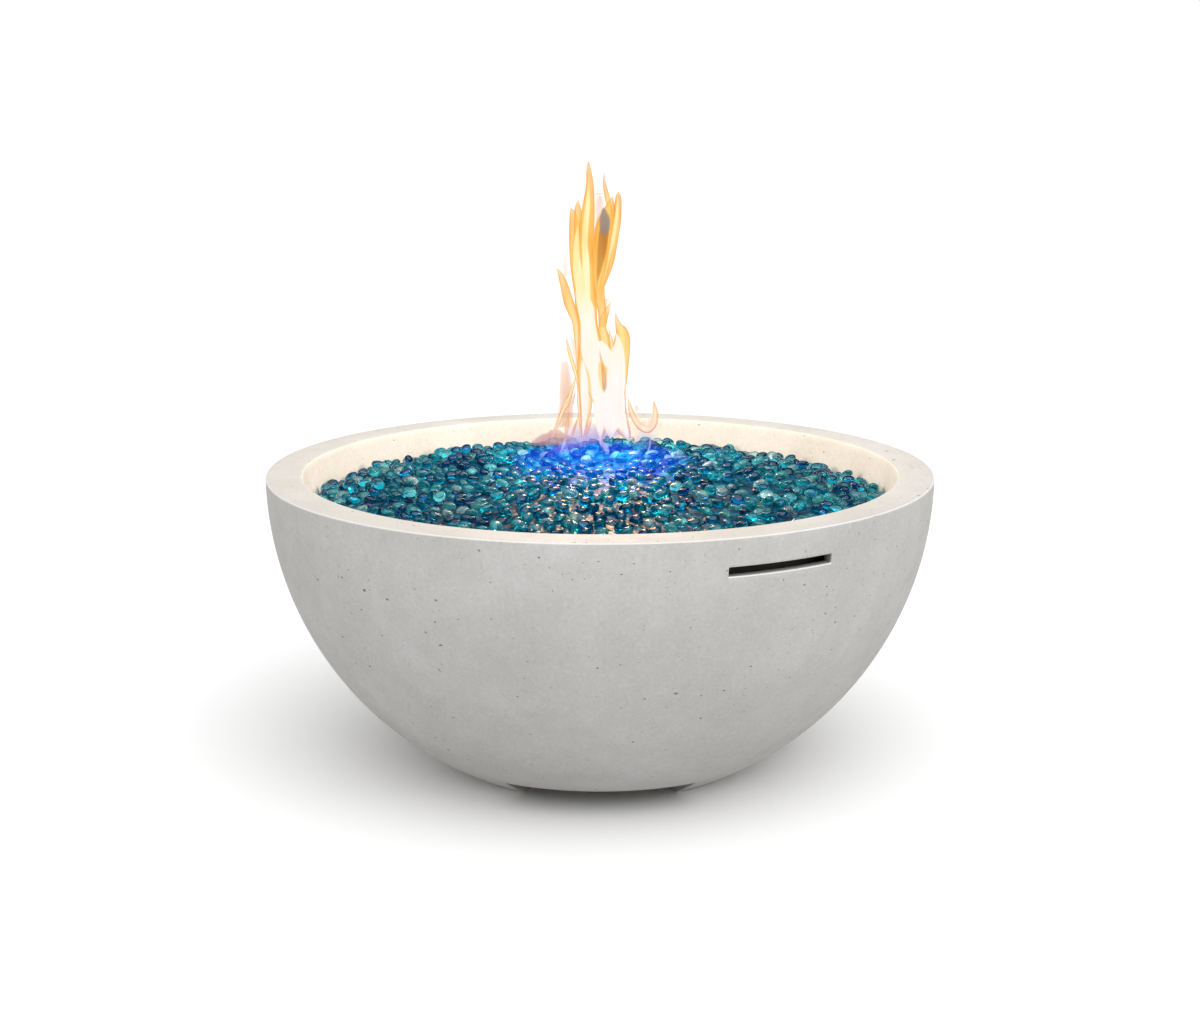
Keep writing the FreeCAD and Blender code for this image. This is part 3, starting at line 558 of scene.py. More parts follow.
def metal(name, deep, bright, smooth, rough, line_width, stretch=(1.0, 1.0, 1.0), circles=False, hot=None):
    """A metal with polishing lines in circles or along a stretch, clouds 18 mm across in its tone and its
    wear, and heat colours that fade between two distances from the axis in millimetres."""
    material, tree = new_material(name)
    place = add(tree, "TexCoord").outputs["Object"]
    if circles:
        height = add(tree, "SeparateXYZ", place).outputs["Z"]
        line_place = add(tree, "CombineXYZ", from_axis(tree, place), height)
    else:
        line_place = add(tree, "VectorMath", place, stretch, operation="MULTIPLY")
    lines = add(tree, "TexNoise", line_place, 1 / (line_width * mm), 3.0, 0.6)
    clouds = add(tree, "TexNoise", place, 1 / (18.18 * mm), 4.0, 0.6)
    tone = add(tree, "Mix", add(tree, "MapRange", clouds, 0.35, 0.65), deep, bright, data_type="RGBA")
    if hot:
        burnt = add(tree, "MapRange", from_axis(tree, place), hot[0] * mm, hot[1] * mm, 1.0, 0.0)
        burnt = add(tree, "Math", burnt, add(tree, "MapRange", clouds, 0.3, 0.7, 0.5, 1.0),
                    operation="MULTIPLY")
        heat = add(tree, "ValToRGB", burnt,
                   stops=((0.0, "#ffffff"), (0.35, "#f3dcae"), (0.6, "#d9a372"), (0.8, "#8c7f9d")))
        tone = add(tree, "Mix", 0.75, tone, heat, data_type="RGBA", blend_type="MULTIPLY")
    worn = add(tree, "MapRange", clouds, 0.45, 0.7, 0.0, 0.1)
    worn = add(tree, "Math", add(tree, "MapRange", lines, 0.3, 0.7, smooth, rough), worn, operation="ADD")
    bump = add(tree, "Bump", {"Height": lines, "Distance": 0.03 * mm, "Strength": 0.7})
    skin = add(tree, "BsdfPrincipled", {
        "Base Color": tone, "Metallic": 1.0, "Roughness": worn, "Normal": bump})
    add(tree, "OutputMaterial", skin)
    return material


# Spun stainless steel: satin, with streaks of light across its circles. The lathe's polishing lines are some
# 0.1 mm apart and are drawn 0.9 mm apart, or they wouldn't show.
spun_stainless = metal("spun_stainless_steel", "#b5b3ae", "#cbc9c4", 0.24, 0.40, 0.909, circles=True,
                       hot=(100, 220))
finish_nodes(spun_stainless, "burner_pan")

# --- Burner: turned hub, spokes and mitred ring tubes, stainless ---
# Six mitred tubes make the ring and six coped tubes join it to the turned hub, all welded and drilled with
# ports. The hub's spigot goes through the pan, and the flame has blued the steel.

# Drawn stainless steel: satin and linished, its lines drawn 1.4 mm apart for the 0.1 mm of the belt's grit.
drawn_stainless = metal("drawn_stainless_steel", "#a9a6a0", "#c6c3bd", 0.22, 0.42, 1.4286, (1.0, 1.0, 6.0),
                        hot=(130, 300))
finish_nodes(drawn_stainless, "burner_hub", *(f"ring_tube_{k}" for k in range(1, 7)),
             *(f"burner_spoke_{k}" for k in range(1, 7)))

# --- Burner brackets, their screws and nuts: stainless ---
# Three bent strips that hold the ring off the pan, each fixed through it by a bought screw and nut.

# Mill-finish stainless steel: a little duller than the tubes, with rolling lines of some 0.2 mm drawn 2 mm
# apart.
plain_stainless = metal("mill_finish_stainless_steel", "#a5a3a0", "#bdbbb7", 0.30, 0.46, 2.0, (1.0, 4.0, 1.0),
                        hot=(120, 320))
finish_nodes(plain_stainless, *(f"burner_bracket_{k}" for k in range(1, 4)), "bracket_screws", "bracket_nuts")

# --- Hub washer and locknut, air shutter, thumbscrew, valve lever and its nut: zinc-plated steel ---
# Pressed and turned steel, plated after it was made: the nut and washer clamp the hub to the pan, the shutter
# turns on the mixer under its thumbscrew, and the lever is held on the valve's stem by its nut.

# Zinc plate: bluish and satin with faint yellow clouds. Its tool marks, near 0.2 mm, are drawn 2.4 mm apart.
zinc_plate = metal("zinc_plated_steel", "#a9adb2", "#c9c6b6", 0.26, 0.44, 2.381, (1.0, 1.0, 2.0))
finish_nodes(zinc_plate, "hub_washer", "hub_locknut", "air_shutter", "shutter_thumbscrew", "valve_lever",
             "lever_nut")

# --- Air mixer: grey iron casting with a thin dark coat ---
# A sand casting with air windows, a chamber and a throat, screwed to the hub's spigot from below.

# Coated cast iron: grainy, so that it takes no sharp highlight, with rust in clouds of 14 mm where the coat
# is thin. The moulding sand's 0.3 mm is drawn 1.5 mm wide.
cast_coat, tree = new_material("coated_cast_iron")
place = add(tree, "TexCoord").outputs["Object"]
sand = add(tree, "TexNoise", place, 1 / (1.5385 * mm), 3.0, 0.65)
clouds = add(tree, "TexNoise", place, 1 / (14.286 * mm), 4.0, 0.6)
coat = add(tree, "ValToRGB", clouds, stops=((0.3, "#232425"), (0.7, "#3a3a3a")))
rust = add(tree, "MapRange", clouds, 0.62, 0.74, 0.0, 0.5)
coat = add(tree, "Mix", rust, coat, "#5a4335", data_type="RGBA")
skin = add(tree, "BsdfPrincipled", {
    "Base Color": coat, "Roughness": add(tree, "MapRange", sand, 0.3, 0.7, 0.55, 0.75), "IOR": 1.5,
    "Normal": add(tree, "Bump", {"Height": sand, "Distance": 0.35 * mm, "Strength": 0.8})})
add(tree, "OutputMaterial", skin)
finish_nodes(cast_coat, "air_mixer")

# --- Nipples: black steel pipe ---
# Short lengths of half-inch pipe, threaded at both ends, that join the inlet, the valve and the mixer.

# Lacquered mill scale: black with a soft sheen, and brown where the lacquer is thin, in flakes of 4 mm.
black_pipe, tree = new_material("black_steel_pipe")
place = add(tree, "TexCoord").outputs["Object"]
flakes = add(tree, "TexNoise", place, 1 / (4.1667 * mm), 5.0, 0.65)
skin = add(tree, "BsdfPrincipled", {
    "Base Color": add(tree, "ValToRGB", flakes, stops=((0.3, "#17181a"), (0.6, "#26272a"), (0.8, "#46372c"))),
    "Roughness": add(tree, "MapRange", flakes, 0.3, 0.7, 0.32, 0.55), "IOR": 1.5,
    "Normal": add(tree, "Bump", {"Height": flakes, "Distance": 0.08 * mm, "Strength": 0.6})})
add(tree, "OutputMaterial", skin)
finish_nodes(black_pipe, "mixer_nipple", "inlet_nipple")

# --- Orifice, valve body, stem, packing nut and inlet coupling: turned and forged brass ---
# The valve's two halves are forged and screwed together, and the jet, the stem, its nut and the coupling are
# turned from bar.

# Machined brass: warm and satin, dulled towards brown by handling. Turning lines of 0.15 mm are drawn 1.1 mm
# apart.
brass = metal("machined_brass", "#b08d4c", "#d9ba74", 0.20, 0.38, 1.111, (1.0, 1.0, 5.0))
finish_nodes(brass, "orifice", "valve_body", "valve_end", "packing_nut", "valve_stem", "inlet_coupling")

# --- Valve ball and its two seats: chromed brass and PTFE ---
# A bored brass ball, polished and plated, that turns between two pressed rings of PTFE.

# Chrome plate: the smoothest thing here, nearly a mirror, with polishing haze drawn 3.3 mm wide.
chrome = metal("chrome_plate", "#dcdedf", "#e6e7e8", 0.04, 0.09, 3.333)
finish_nodes(chrome, "valve_ball")

# White PTFE: waxy and slightly translucent, with pressing marks 2 mm wide.
seat_plastic, tree = new_material("white_ptfe")
marks = add(tree, "TexNoise", add(tree, "TexCoord").outputs["Object"], 1 / (2.0 * mm), 4.0, 0.6)
skin = add(tree, "BsdfPrincipled", {
    "Base Color": add(tree, "ValToRGB", marks, stops=((0.3, "#d8d8d2"), (0.7, "#ecece8"))),
    "Roughness": add(tree, "MapRange", marks, 0.3, 0.7, 0.35, 0.5), "IOR": 1.35,
    "Subsurface Weight": 0.2, "Subsurface Scale": mm})
add(tree, "OutputMaterial", skin)
finish_nodes(seat_plastic, "upper_seat", "lower_seat")

# --- Lever sleeve: dipped yellow vinyl ---
# The lever's grip, made by dipping the hot lever in liquid vinyl.

# Dipped vinyl: soft sheen, a faint orange peel of 2.4 mm, and grubby finger marks 17 mm wide.
vinyl, tree = new_material("dipped_yellow_vinyl")
place = add(tree, "TexCoord").outputs["Object"]
peel = add(tree, "TexNoise", place, 1 / (2.381 * mm))
grime = add(tree, "TexNoise", place, 1 / (16.667 * mm), 5.0, 0.65)
dip = add(tree, "Mix", add(tree, "MapRange", grime, 0.5, 0.75, 0.0, 0.45), "#d9a318", "#8a6a1c",
          data_type="RGBA")
skin = add(tree, "BsdfPrincipled", {
    "Base Color": dip, "Roughness": add(tree, "MapRange", grime, 0.35, 0.7, 0.34, 0.55), "IOR": 1.52,
    "Normal": add(tree, "Bump", {"Height": peel, "Distance": 0.12 * mm, "Strength": 0.5})})
add(tree, "OutputMaterial", skin)
finish_nodes(vinyl, "lever_sleeve")

# --- Fire glass: loose tumbled nuggets heaped over the burner ---
# Thousands of rounded pieces of tinted glass, each dropped until it rests on those below, with a dark bed
# under them, painted shade that stands for the layers that aren't seen.
glass_crown = 421.0
dome_radius = 1613.0
glass_top_limit = 420.8
nugget_size = (9.7, 8.4, 5.9)
nugget_spread = 0.12
nugget_lean = 0.52
settle = 1.2
proud_share, proud_by = 0.10, (2.5, 7.5)
collar_at_glass = 403.5
bed_depth = 10.0
heap_depth = 13.0
drop_reach = 396
drop_tries = 20000
random = np.random.default_rng(11)


def dome(x, y):
    return glass_crown - dome_radius + np.sqrt(dome_radius**2 - x**2 - y**2)


# The heap's height on a grid of cells, raised by each nugget that comes to rest. Each tries a few places and
# takes the lowest, and only those that end near the mound's dome are kept.
cell = 1.5
reach = 272
window = 7
wall = 1e4
line_of_cells = np.arange(-reach, reach + 1) * cell
cell_x, cell_y = np.meshgrid(line_of_cells, line_of_cells, indexing="ij")
heap = dome(cell_x, cell_y) - bed_depth - heap_depth
heap[np.hypot(cell_x, cell_y) > collar_at_glass] = wall
dropped = []
for _ in range(drop_tries):
    size = np.array(nugget_size) * random.uniform(1 - nugget_spread, 1 + nugget_spread, 3)
    turn, slope_u, slope_v = random.uniform(0, math.pi), *random.normal(0, nugget_lean, 2)
    start_x, start_y = random.uniform(-drop_reach, drop_reach, 2)
    if math.hypot(start_x, start_y) > drop_reach:
        continue
    best = None
    for jitter_x, jitter_y in np.vstack(([0, 0], random.normal(0, 4.0, (3, 2)))):
        x, y = start_x + jitter_x, start_y + jitter_y
        if math.hypot(x, y) > collar_at_glass - size[0]:
            continue
        i, j = int(round(x / cell)) + reach, int(round(y / cell)) + reach
        near = (slice(i - window, i + window + 1), slice(j - window, j + window + 1))
        if heap[near].shape != (2 * window + 1,) * 2:
            continue
        u = math.cos(turn) * (cell_x[near] - x) + math.sin(turn) * (cell_y[near] - y)
        v = math.cos(turn) * (cell_y[near] - y) - math.sin(turn) * (cell_x[near] - x)
        bulge = 1 - (u / size[0]) ** 2 - (v / size[1]) ** 2
        covered = bulge > 0.02
        lean = slope_u * u + slope_v * v
        thick = size[2] * np.sqrt(np.where(covered, bulge, 0.0))
        rest = float((heap[near] - lean + thick)[covered].max()) - settle
        if best is None or rest < best[0]:
            best = (rest, x, y, near, covered, lean + thick)
    if best is None:
        continue
    rest, x, y, near, covered, upper = best
    tip = rest + float(upper[covered].max())
    proud = random.uniform(*proud_by) if random.random() < proud_share else 0.0
    if tip < min(float(dome(x, y)) + 0.8 + proud, glass_top_limit):
        heap[near] = np.where(covered, np.maximum(heap[near], rest + upper), heap[near])
        dropped.append((x, y, rest, *size, turn, math.atan(slope_u), math.atan(slope_v),
                        near, covered, upper))

# Only the nuggets that show from above are made: the ones that lie open in full, and the buried ones more
# coarsely.
shown = []
for nugget in dropped:
    rest, near, covered, upper = nugget[2], *nugget[9:]
    seen = (rest + upper > heap[near] - 0.3) & covered
    share = seen.sum() / covered.sum()
    if share > 0.03:
        shown.append((*nugget[:9], share))
shown = np.array(sorted(shown, key=lambda n: n[1]))


def ball_of(subdivisions):
    shape = bmesh.new()
    bmesh.ops.create_icosphere(shape, subdivisions=subdivisions, radius=1.0)
    shape.verts.ensure_lookup_table()
    points = np.array([v.co for v in shape.verts])
    faces = np.array([[v.index for v in f.verts] for f in shape.faces])
    shape.free()
    return points, faces


def nugget_points(ball, nuggets):
    """Every nugget's points: a squarish pebble with low swells, sized, leaned, turned and put in its
    place."""
    count = len(nuggets)
    pillow = ball / (np.abs(ball) ** 2.2).sum(1, keepdims=True) ** (1 / 2.2)
    swell = np.ones((count, len(ball)))
    for lumps, strength in ((1.0, 0.05), (2.2, 0.04), (3.6, 0.015)):
        ways = random.normal(0, 1, (count, 3))
        ways /= np.linalg.norm(ways, axis=1, keepdims=True)
        swell += strength * np.sin(lumps * (ball @ ways.T).T * 1.6 + random.uniform(0, 6.28, (count, 1)))
    pts = pillow[None] * nuggets[:, None, 3:6] * swell[..., None] * 0.97
    lean_u, lean_v, turn = nuggets[:, None, 7], nuggets[:, None, 8], nuggets[:, None, 6]
    x, y, z = pts[..., 0], pts[..., 1], pts[..., 2]
    x, z = x * np.cos(lean_u) - z * np.sin(lean_u), x * np.sin(lean_u) + z * np.cos(lean_u)
    y, z = y * np.cos(lean_v) - z * np.sin(lean_v), y * np.sin(lean_v) + z * np.cos(lean_v)
    x, y = x * np.cos(turn) - y * np.sin(turn), x * np.sin(turn) + y * np.cos(turn)
    placed = np.stack((x + nuggets[:, None, 0], y + nuggets[:, None, 1], z + nuggets[:, None, 2]), axis=-1)
    placed[..., 2] = np.minimum(placed[..., 2], glass_top_limit)
    return placed


# Tumbled glass: clear pieces tinted teal, cyan and blue with a few nearly clear ones, with swirls of colour 9
# mm wide, swells of 8 mm and a faint frost of 2.4 mm from tumbling. Light that crosses several of them goes
# navy, and their skins mirror the flame.
tinted_glass, tree = new_material("tumbled_tinted_glass")
own = add(tree, "NewGeometry").outputs["Random Per Island"]
place = add(tree, "TexCoord").outputs["Object"]
tint = add(tree, "ValToRGB", own, stops=((0.0, "#045e9e"), (0.2, "#0890bc"), (0.45, "#0eb2cc"),
                                         (0.7, "#34d2de"), (0.9, "#7cecec"), (0.98, "#d4f2f0")))
swirl = add(tree, "TexNoise", place, 1 / (9.091 * mm), 3.0, 0.55, {"Distortion": 0.8})
swirl = add(tree, "MapRange", swirl, 0.45, 0.62, 0.0, 0.55)
swells = add(tree, "TexNoise", place, 1 / (7.692 * mm))
frost = add(tree, "TexNoise", place, 1 / (2.381 * mm), 3.0, 0.6)
skin = add(tree, "BsdfPrincipled", {
    "Base Color": add(tree, "Mix", swirl, tint, "#0a6098", data_type="RGBA"), "IOR": 1.52,
    "Roughness": add(tree, "MapRange", frost, 0.4, 0.7, 0.0, 0.08),
    "Transmission Weight": add(tree, "MapRange", own, 0.3, 0.9, 0.94, 0.80),
    "Normal": add(tree, "Bump", {"Height": swells, "Distance": 0.9 * mm, "Strength": 0.25})})
add(tree, "OutputMaterial", skin)

for grade, subdivisions, per_piece in (("near", 3, 600), ("low", 2, 2400)):
    ball, ball_faces = ball_of(subdivisions)
    chosen = shown[(shown[:, 9] >= 0.25) == (grade == "near")]
    for k, start in enumerate(range(0, len(chosen), per_piece), 1):
        nuggets = chosen[start:start + per_piece]
        points = nugget_points(ball, nuggets).reshape(-1, 3)
        faces = (ball_faces[None] + len(ball) * np.arange(len(nuggets))[:, None, None]).reshape(-1, 3)
        heap_piece = new_piece(f"glass_nuggets_{grade}_{k}", points, faces.tolist(), tinted_glass)
        heap_piece.data.shade_smooth()

# Bed of glass: painted shade for the depth of the heap, in lumps of 16 mm like the nuggets that it stands
# for.
shaded_glass, tree = new_material("shaded_depth_of_glass")
lumps = add(tree, "TexVoronoi", add(tree, "TexCoord").outputs["Object"], 1 / (16.129 * mm))
deep = add(tree, "Mix", add(tree, "MapRange", lumps, 0.1, 0.6), "#0a6284", "#032a42", data_type="RGBA")
skin = add(tree, "BsdfPrincipled", {
    "Base Color": deep, "Roughness": add(tree, "MapRange", lumps, 0.0, 0.6, 0.12, 0.4), "IOR": 1.52,
    "Normal": add(tree, "Bump", {"Height": lumps, "Distance": -6 * mm, "Strength": 0.8})})
add(tree, "OutputMaterial", skin)

# Its section runs out over the dome, down the collar and the ledge, and back over the hollow for the burner.
bed_edge, bed_floor, hollow_radius, hollow_top = 400.5, 333.0, 163.5, 368.0
bed_profile = [(r, None) for r in np.linspace(6.0, bed_edge - 1.0, 60)]
bed_profile += [(bed_edge - 0.5, 361.0), (398.0, 344.0), (364.0, 343.0), (364.0, bed_floor),
                (hollow_radius, bed_floor), (hollow_radius, hollow_top), (6.0, hollow_top)]
bearings = 180
points = []
for radius, z in bed_profile:
    for k in range(bearings):
        a = 2 * math.pi * k / bearings
        x, y = radius * math.cos(a), radius * math.sin(a)
        lump = 1.3 * math.sin(x / 6.1 + 2.0 * math.sin(y / 11.0)) * math.cos(y / 5.3 + math.sin(x / 13.0))
        points.append((x, y, z if z else float(dome(x, y)) - bed_depth + lump))
faces = ring_faces(len(bed_profile), bearings)
faces += [tuple(range(bearings)), tuple(range(len(points) - bearings, len(points)))]
glass_bed = new_piece("glass_bed", points, faces, shaded_glass)
finish_mesh(glass_bed.data, 50)
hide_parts("fire_glass")

# --- Flame: lit gas above the burner, not part of the bowl ---
# A tall flame of many tongues, orange at their edges, yellow within and white at its heart, with a violet
# foot, a blue haze over the glass and sooty hollows. Each tongue is a closed body of glowing gas.
flame_foot = 421.0
flame_tip = 826.0

# The paths of its bodies: at each knot how far to the right, how high and half how wide it is, in mm.
tongue_paths = {
    "edge_left": [
        (-40, 762.6, 0.8), (-36.7, 753.2, 5), (-35.6, 731.1, 7), (-34.7, 710.3, 7.8), (-32.7, 689.4, 8.7),
        (-29.5, 668.5, 9.5), (-25.4, 647.5, 10.4), (-21.4, 631.4, 13.2), (-19.2, 605, 10.4),
        (-17.6, 582.9, 11), (-18.2, 560.7, 12.3), (-19.9, 538.5, 12.7), (-19.4, 516.2, 11.1),
        (-19.5, 498.4, 9.6), (-20, 478.3, 7.4), (-22.4, 459.6, 4.3), (-24.7, 442.2, 0.9)],
    "ragged_top": [
        (-30, 774.1, 0.4), (-30.3, 765.6, 3.6), (-30, 750.4, 6.1), (-29.4, 731.1, 6.1), (-28, 710.3, 4.2)],
    "tip_one": [
        (-15.8, 827.3, 0.4), (-15.5, 820.5, 2.2), (-15.1, 810.9, 3.9), (-13.7, 793.1, 5.5),
        (-15.1, 772.5, 7.8), (-17.5, 744.9, 10.3), (-20.3, 717.2, 12), (-21.1, 689.4, 12.6),
        (-20.4, 661.5, 14), (-18.1, 631.4, 13.7), (-16.2, 605, 13), (-13.2, 582.9, 13.8),
        (-9.4, 560.7, 16.5), (-5, 538.5, 17.7), (-1.7, 516.2, 18.2), (4.1, 498.4, 14.2), (4.8, 479.7, 13),
        (3.7, 463.9, 9.4), (2, 450.9, 4.3), (2.3, 441.9, 0.9)],
    "tip_two": [
        (6.2, 811.6, 0.3), (5.5, 800, 1.9), (7.8, 786.2, 3.3), (11, 772.5, 3.9), (13.8, 760.1, 2.4),
        (15.8, 749.1, 0.4)],
    "edge_right": [
        (25.2, 784.6, 0.6), (25, 778.6, 3.9), (24.7, 767, 5), (23.1, 744.9, 5.8), (18.4, 717.2, 6.3),
        (12, 689.4, 7.3), (5, 664.3, 5), (0.8, 647.5, 2.5), (3.3, 634.7, 1.1)],
    "back_sheet": [
        (17, 778, 1), (14.5, 767, 6), (11, 752, 10.5), (7, 735, 13), (4, 710, 13.5), (1, 685, 12),
        (-2, 660, 9), (0, 640, 7), (3, 620, 6), (3, 600, 5)],
    "strand": [
        (2.2, 760.4, 0.4), (-2.8, 747.7, 1.1), (-7, 731.1, 1.5), (-9.2, 710.3, 1.7), (-10.2, 682.5, 1.7),
        (-7.8, 654.5, 1.7), (-1.7, 636.9, 0.7)],
    "orange_band": [
        (0.8, 739.4, 0.6), (-2.9, 724.2, 3.6), (-5.7, 703.3, 3.6), (-6.8, 682.5, 3.1), (-5.3, 661.5, 2),
        (-2.9, 647.5, 0.6)],
    "left_tongue": [
        (-59.5, 681.6, 0.4), (-54.3, 670.6, 3.8), (-49.4, 657.3, 5.6), (-43.8, 635.8, 7),
        (-39.2, 622.6, 6.6), (-34.6, 609.4, 5.1), (-32.9, 596.1, 4.4), (-32.5, 582.9, 3.5),
        (-31.9, 567.4, 2.2), (-32.5, 549.6, 1.1), (-33.5, 538.5, 0.4)],
    "cross": [
        (-46.5, 586.2, 0.4), (-45.5, 577.9, 1.7), (-42.9, 566.3, 2.6), (-39.6, 554, 2.9),
        (-35.9, 540.7, 2.6), (-31.5, 527.3, 2.7), (-29.5, 510.6, 2.4), (-29.9, 493.8, 2.2),
        (-28.5, 478.3, 2.3), (-27.6, 461, 1.7), (-25.6, 442.5, 0.6)],
    "foot_long": [
        (-32.8, 534, 0.6), (-36.8, 518.4, 2.2), (-41.3, 505, 3), (-46, 490.4, 3.1), (-50.8, 485.5, 3.4),
        (-57.9, 466.8, 2.8), (-64.8, 449.5, 2), (-70, 434.7, 0.6)],
    "foot_tip": [(-68.2, 457.2, 0.4), (-70.5, 448, 1.3), (-72.4, 436.7, 0.4)],
    "foot_second": [(-42.3, 482.6, 0.6), (-45.1, 466.8, 2.3), (-47, 452.3, 2.3), (-48.5, 440.8, 0.9)],
    "foot_third": [(-30.6, 475.1, 0.4), (-33.5, 463.9, 1.8), (-37.1, 453.1, 2), (-41, 442.2, 0.9)],
    "foot_fourth": [(-11.4, 474.2, 0.4), (-13.9, 463.9, 1.8), (-17.6, 452.3, 2), (-20.8, 441.9, 0.7)],
    "right_big": [
        (20.6, 621.9, 0.3), (22.5, 612.7, 2), (25.3, 602.8, 4.6), (29.7, 593.9, 8.4), (30.8, 585.1, 10.8),
        (30.3, 571.8, 11.7), (28.7, 549.6, 11.5), (26.5, 527.3, 11.5), (22.1, 509.8, 13.6),
        (23.3, 484, 13.8), (27.8, 466.8, 11.9), (35.4, 452.3, 8), (41.5, 440.5, 1.4)],
    "inner_small": [
        (11.2, 600.3, 0.3), (13.2, 590.6, 1.5), (15.1, 580.7, 3.1), (16, 569.6, 4.6), (16.5, 558.5, 4.6)],
    "right_small": [
        (16.7, 639.3, 0.3), (13.5, 630.3, 1.5), (8.8, 620.4, 4.2), (4.9, 609.4, 5.5), (3.3, 598.3, 5.7),
        (5.5, 587.3, 6.8), (7.7, 576.2, 6.8), (9.4, 562.9, 5.5)],
    "hook": [
        (74.5, 497.9, 0.4), (76.6, 486.9, 2.6), (77.6, 476.8, 4), (75, 463.9, 4.7), (67.4, 455.9, 5.1),
        (58.1, 458.4, 4.7), (50.3, 467, 4.3), (44.5, 478.6, 4), (41, 489.8, 2.8), (38.9, 499.8, 0.6)],
}
heart_paths = {
    "trunk": [
        (-30.1, 671.9, 1.1), (-27.9, 656.6, 5.6), (-25.6, 642.6, 8.1), (-19.7, 629.9, 11.5),
        (-17, 611.2, 10.4), (-14.8, 589.2, 11.9), (-13.2, 572.6, 13.4), (-11.8, 557.1, 11.4),
        (-9.6, 543.8, 7.5), (-7.7, 530.5, 6.2), (-5.5, 517.1, 7.3), (-2.8, 506, 8.8), (2, 499.3, 11),
        (0.6, 480.7, 9.6), (-0.1, 464.9, 6), (0.9, 447.7, 1.1)],
    "right": [
        (21.6, 594.7, 0.7), (24.7, 584.8, 3.7), (24.9, 572.6, 7.9), (22.8, 556, 11.9), (22.1, 539.4, 13),
        (22, 522.7, 13.5), (18.9, 512.2, 15.3), (18.2, 493.6, 17), (17, 476.4, 16.7), (15.4, 463.5, 9.9),
        (14.5, 447.7, 1.4)],
    "bridge": [(0.5, 583.7, 2), (3.8, 572.6, 9), (5.8, 563.8, 10.8), (12.6, 552.7, 7.7), (16, 543.8, 2.2)],
    "foot_right": [(27.5, 479.3, 9.3), (32, 464.9, 6.2), (36.7, 453.4, 3.7), (40.6, 443.3, 0.9)],
    "foot_left": [
        (-23.5, 556, 0.8), (-22.5, 541, 4), (-21.5, 520, 5.6), (-21, 500, 5.2), (-21.5, 480, 3.8),
        (-23, 462, 2), (-24, 448, 0.6)],
}
glow_paths = {
    "right_glow": [
        (24.5, 775.1, 0.8), (22.4, 753.2, 2.3), (18.3, 725.7, 2.8), (13.3, 700.9, 1.9), (8.2, 677.3, 1.1),
        (4, 659.3, 0.4)],
    "left_glow": [
        (-29.5, 742, 0.8), (-31.4, 722, 3.2), (-32, 700, 4.8), (-30, 674, 6.4), (-26.6, 649, 5.6),
        (-23, 620, 1)],
    "middle_glow": [
        (-15.3, 805.1, 0.6), (-15.7, 787.4, 1.8), (-16.6, 766.9, 3.3), (-18.8, 746.3, 3.9),
        (-20.9, 718.8, 4.2), (-19.5, 691.2, 5.2), (-19, 663, 5.6), (-17, 631, 4.5), (-15, 600, 1)],
    "lower_glow": [(-24.7, 556.6, 1.1), (-23.6, 541.2, 3.7), (-22.5, 527.9, 3.7), (-23.6, 516.8, 1.1)],
    "cross_glow": [(-41.1, 565.5, 0.4), (-37.8, 552.2, 1), (-34, 539, 1.3), (-30.8, 525.7, 0.9)],
    "foot_glow": [
        (-34, 532.3, 0.4), (-38.8, 517.9, 1.1), (-42.9, 504.6, 1.3), (-48, 495.6, 1.4), (-56.6, 472.8, 1.3),
        (-66.6, 448.4, 0.6)],
    "hook_glow": [
        (74.5, 492.8, 0.8), (75.8, 479.9, 2.6), (73.8, 468.5, 3.4), (66.9, 460.3, 3.7), (57.7, 462.9, 2.9),
        (50.6, 472.8, 1.8), (45, 482, 0.8)],
}
mist_paths = {
    "mist_left": [
        (-67.6, 453.3, 1.7), (-66.6, 449.9, 12.9), (-66.2, 444, 23), (-65.8, 438.2, 30.9),
        (-65.6, 433.5, 33.1)],
    "veil_left": [
        (-49.5, 549.5, 4.6), (-49, 544.5, 6.4), (-48, 524, 8.6), (-47.6, 505.8, 9.6), (-47, 489.1, 10.4),
        (-48, 474.6, 11), (-48.9, 457.1, 9)],
    "veil_cross": [(-40.6, 585.5, 0.9), (-37.5, 576.6, 3.8), (-35.1, 563.2, 3.3), (-34.5, 549.7, 0.9)],
    "veil_top": [(0.6, 778.8, 2.8), (-0.6, 770.5, 6.2), (-2, 753.8, 5.3), (-4.4, 737, 1.7)],
    "veil_side": [(-47.1, 707.6, 1.1), (-47.1, 692.1, 3.9), (-47.5, 673.8, 4.8), (-46.6, 666.8, 1.7)],
    "veil_notch": [(7.2, 637.8, 6.6), (6.1, 630.1, 6.6), (3.9, 622.3, 3.3)],
    "veil_spot": [(50.4, 489.8, 1.1), (51.3, 484.5, 3.4), (51, 478.9, 2)],
}
soot_paths = {
    "hollow_grey": [
        (4.1, 766, 0.4), (5.6, 758, 4.6), (6.4, 749, 7.2), (6.4, 741, 7.4), (6.2, 734, 6.6), (5.8, 728, 4)],
    "link": [(-7.4, 781.9, 0.7), (-3.6, 782.7, 1.1), (0.5, 783.4, 1.1), (4.4, 784.3, 0.7)],
    "slit_heart": [(4.7, 551, 0.3), (5.6, 538.9, 1.6), (6.1, 526.7, 1.7), (5.9, 519.6, 0.5)],
}
ember_paths = {
    "hollow_brown": [
        (6.5, 742, 4), (5.6, 733, 6.8), (4.4, 722, 7), (2.6, 706, 6.4), (0.2, 690, 4.6), (-2.5, 672, 2.2),
        (-3.6, 662, 0.6)],
    "slit": [
        (-0.8, 575.4, 0.3), (0.5, 564.4, 1.5), (3.6, 551.2, 2.6), (5.4, 536.9, 3.5), (6, 522.5, 3.3),
        (5.8, 513.6, 0.9)],
    "gap_low": [(-33.2, 518.1, 0.3), (-35.4, 507, 1.6), (-37.4, 494.8, 1.1)],
    "gap_high": [(-32.9, 559.5, 0.3), (-33.6, 551.2, 1.1), (-34.5, 543.5, 0.3)],
}
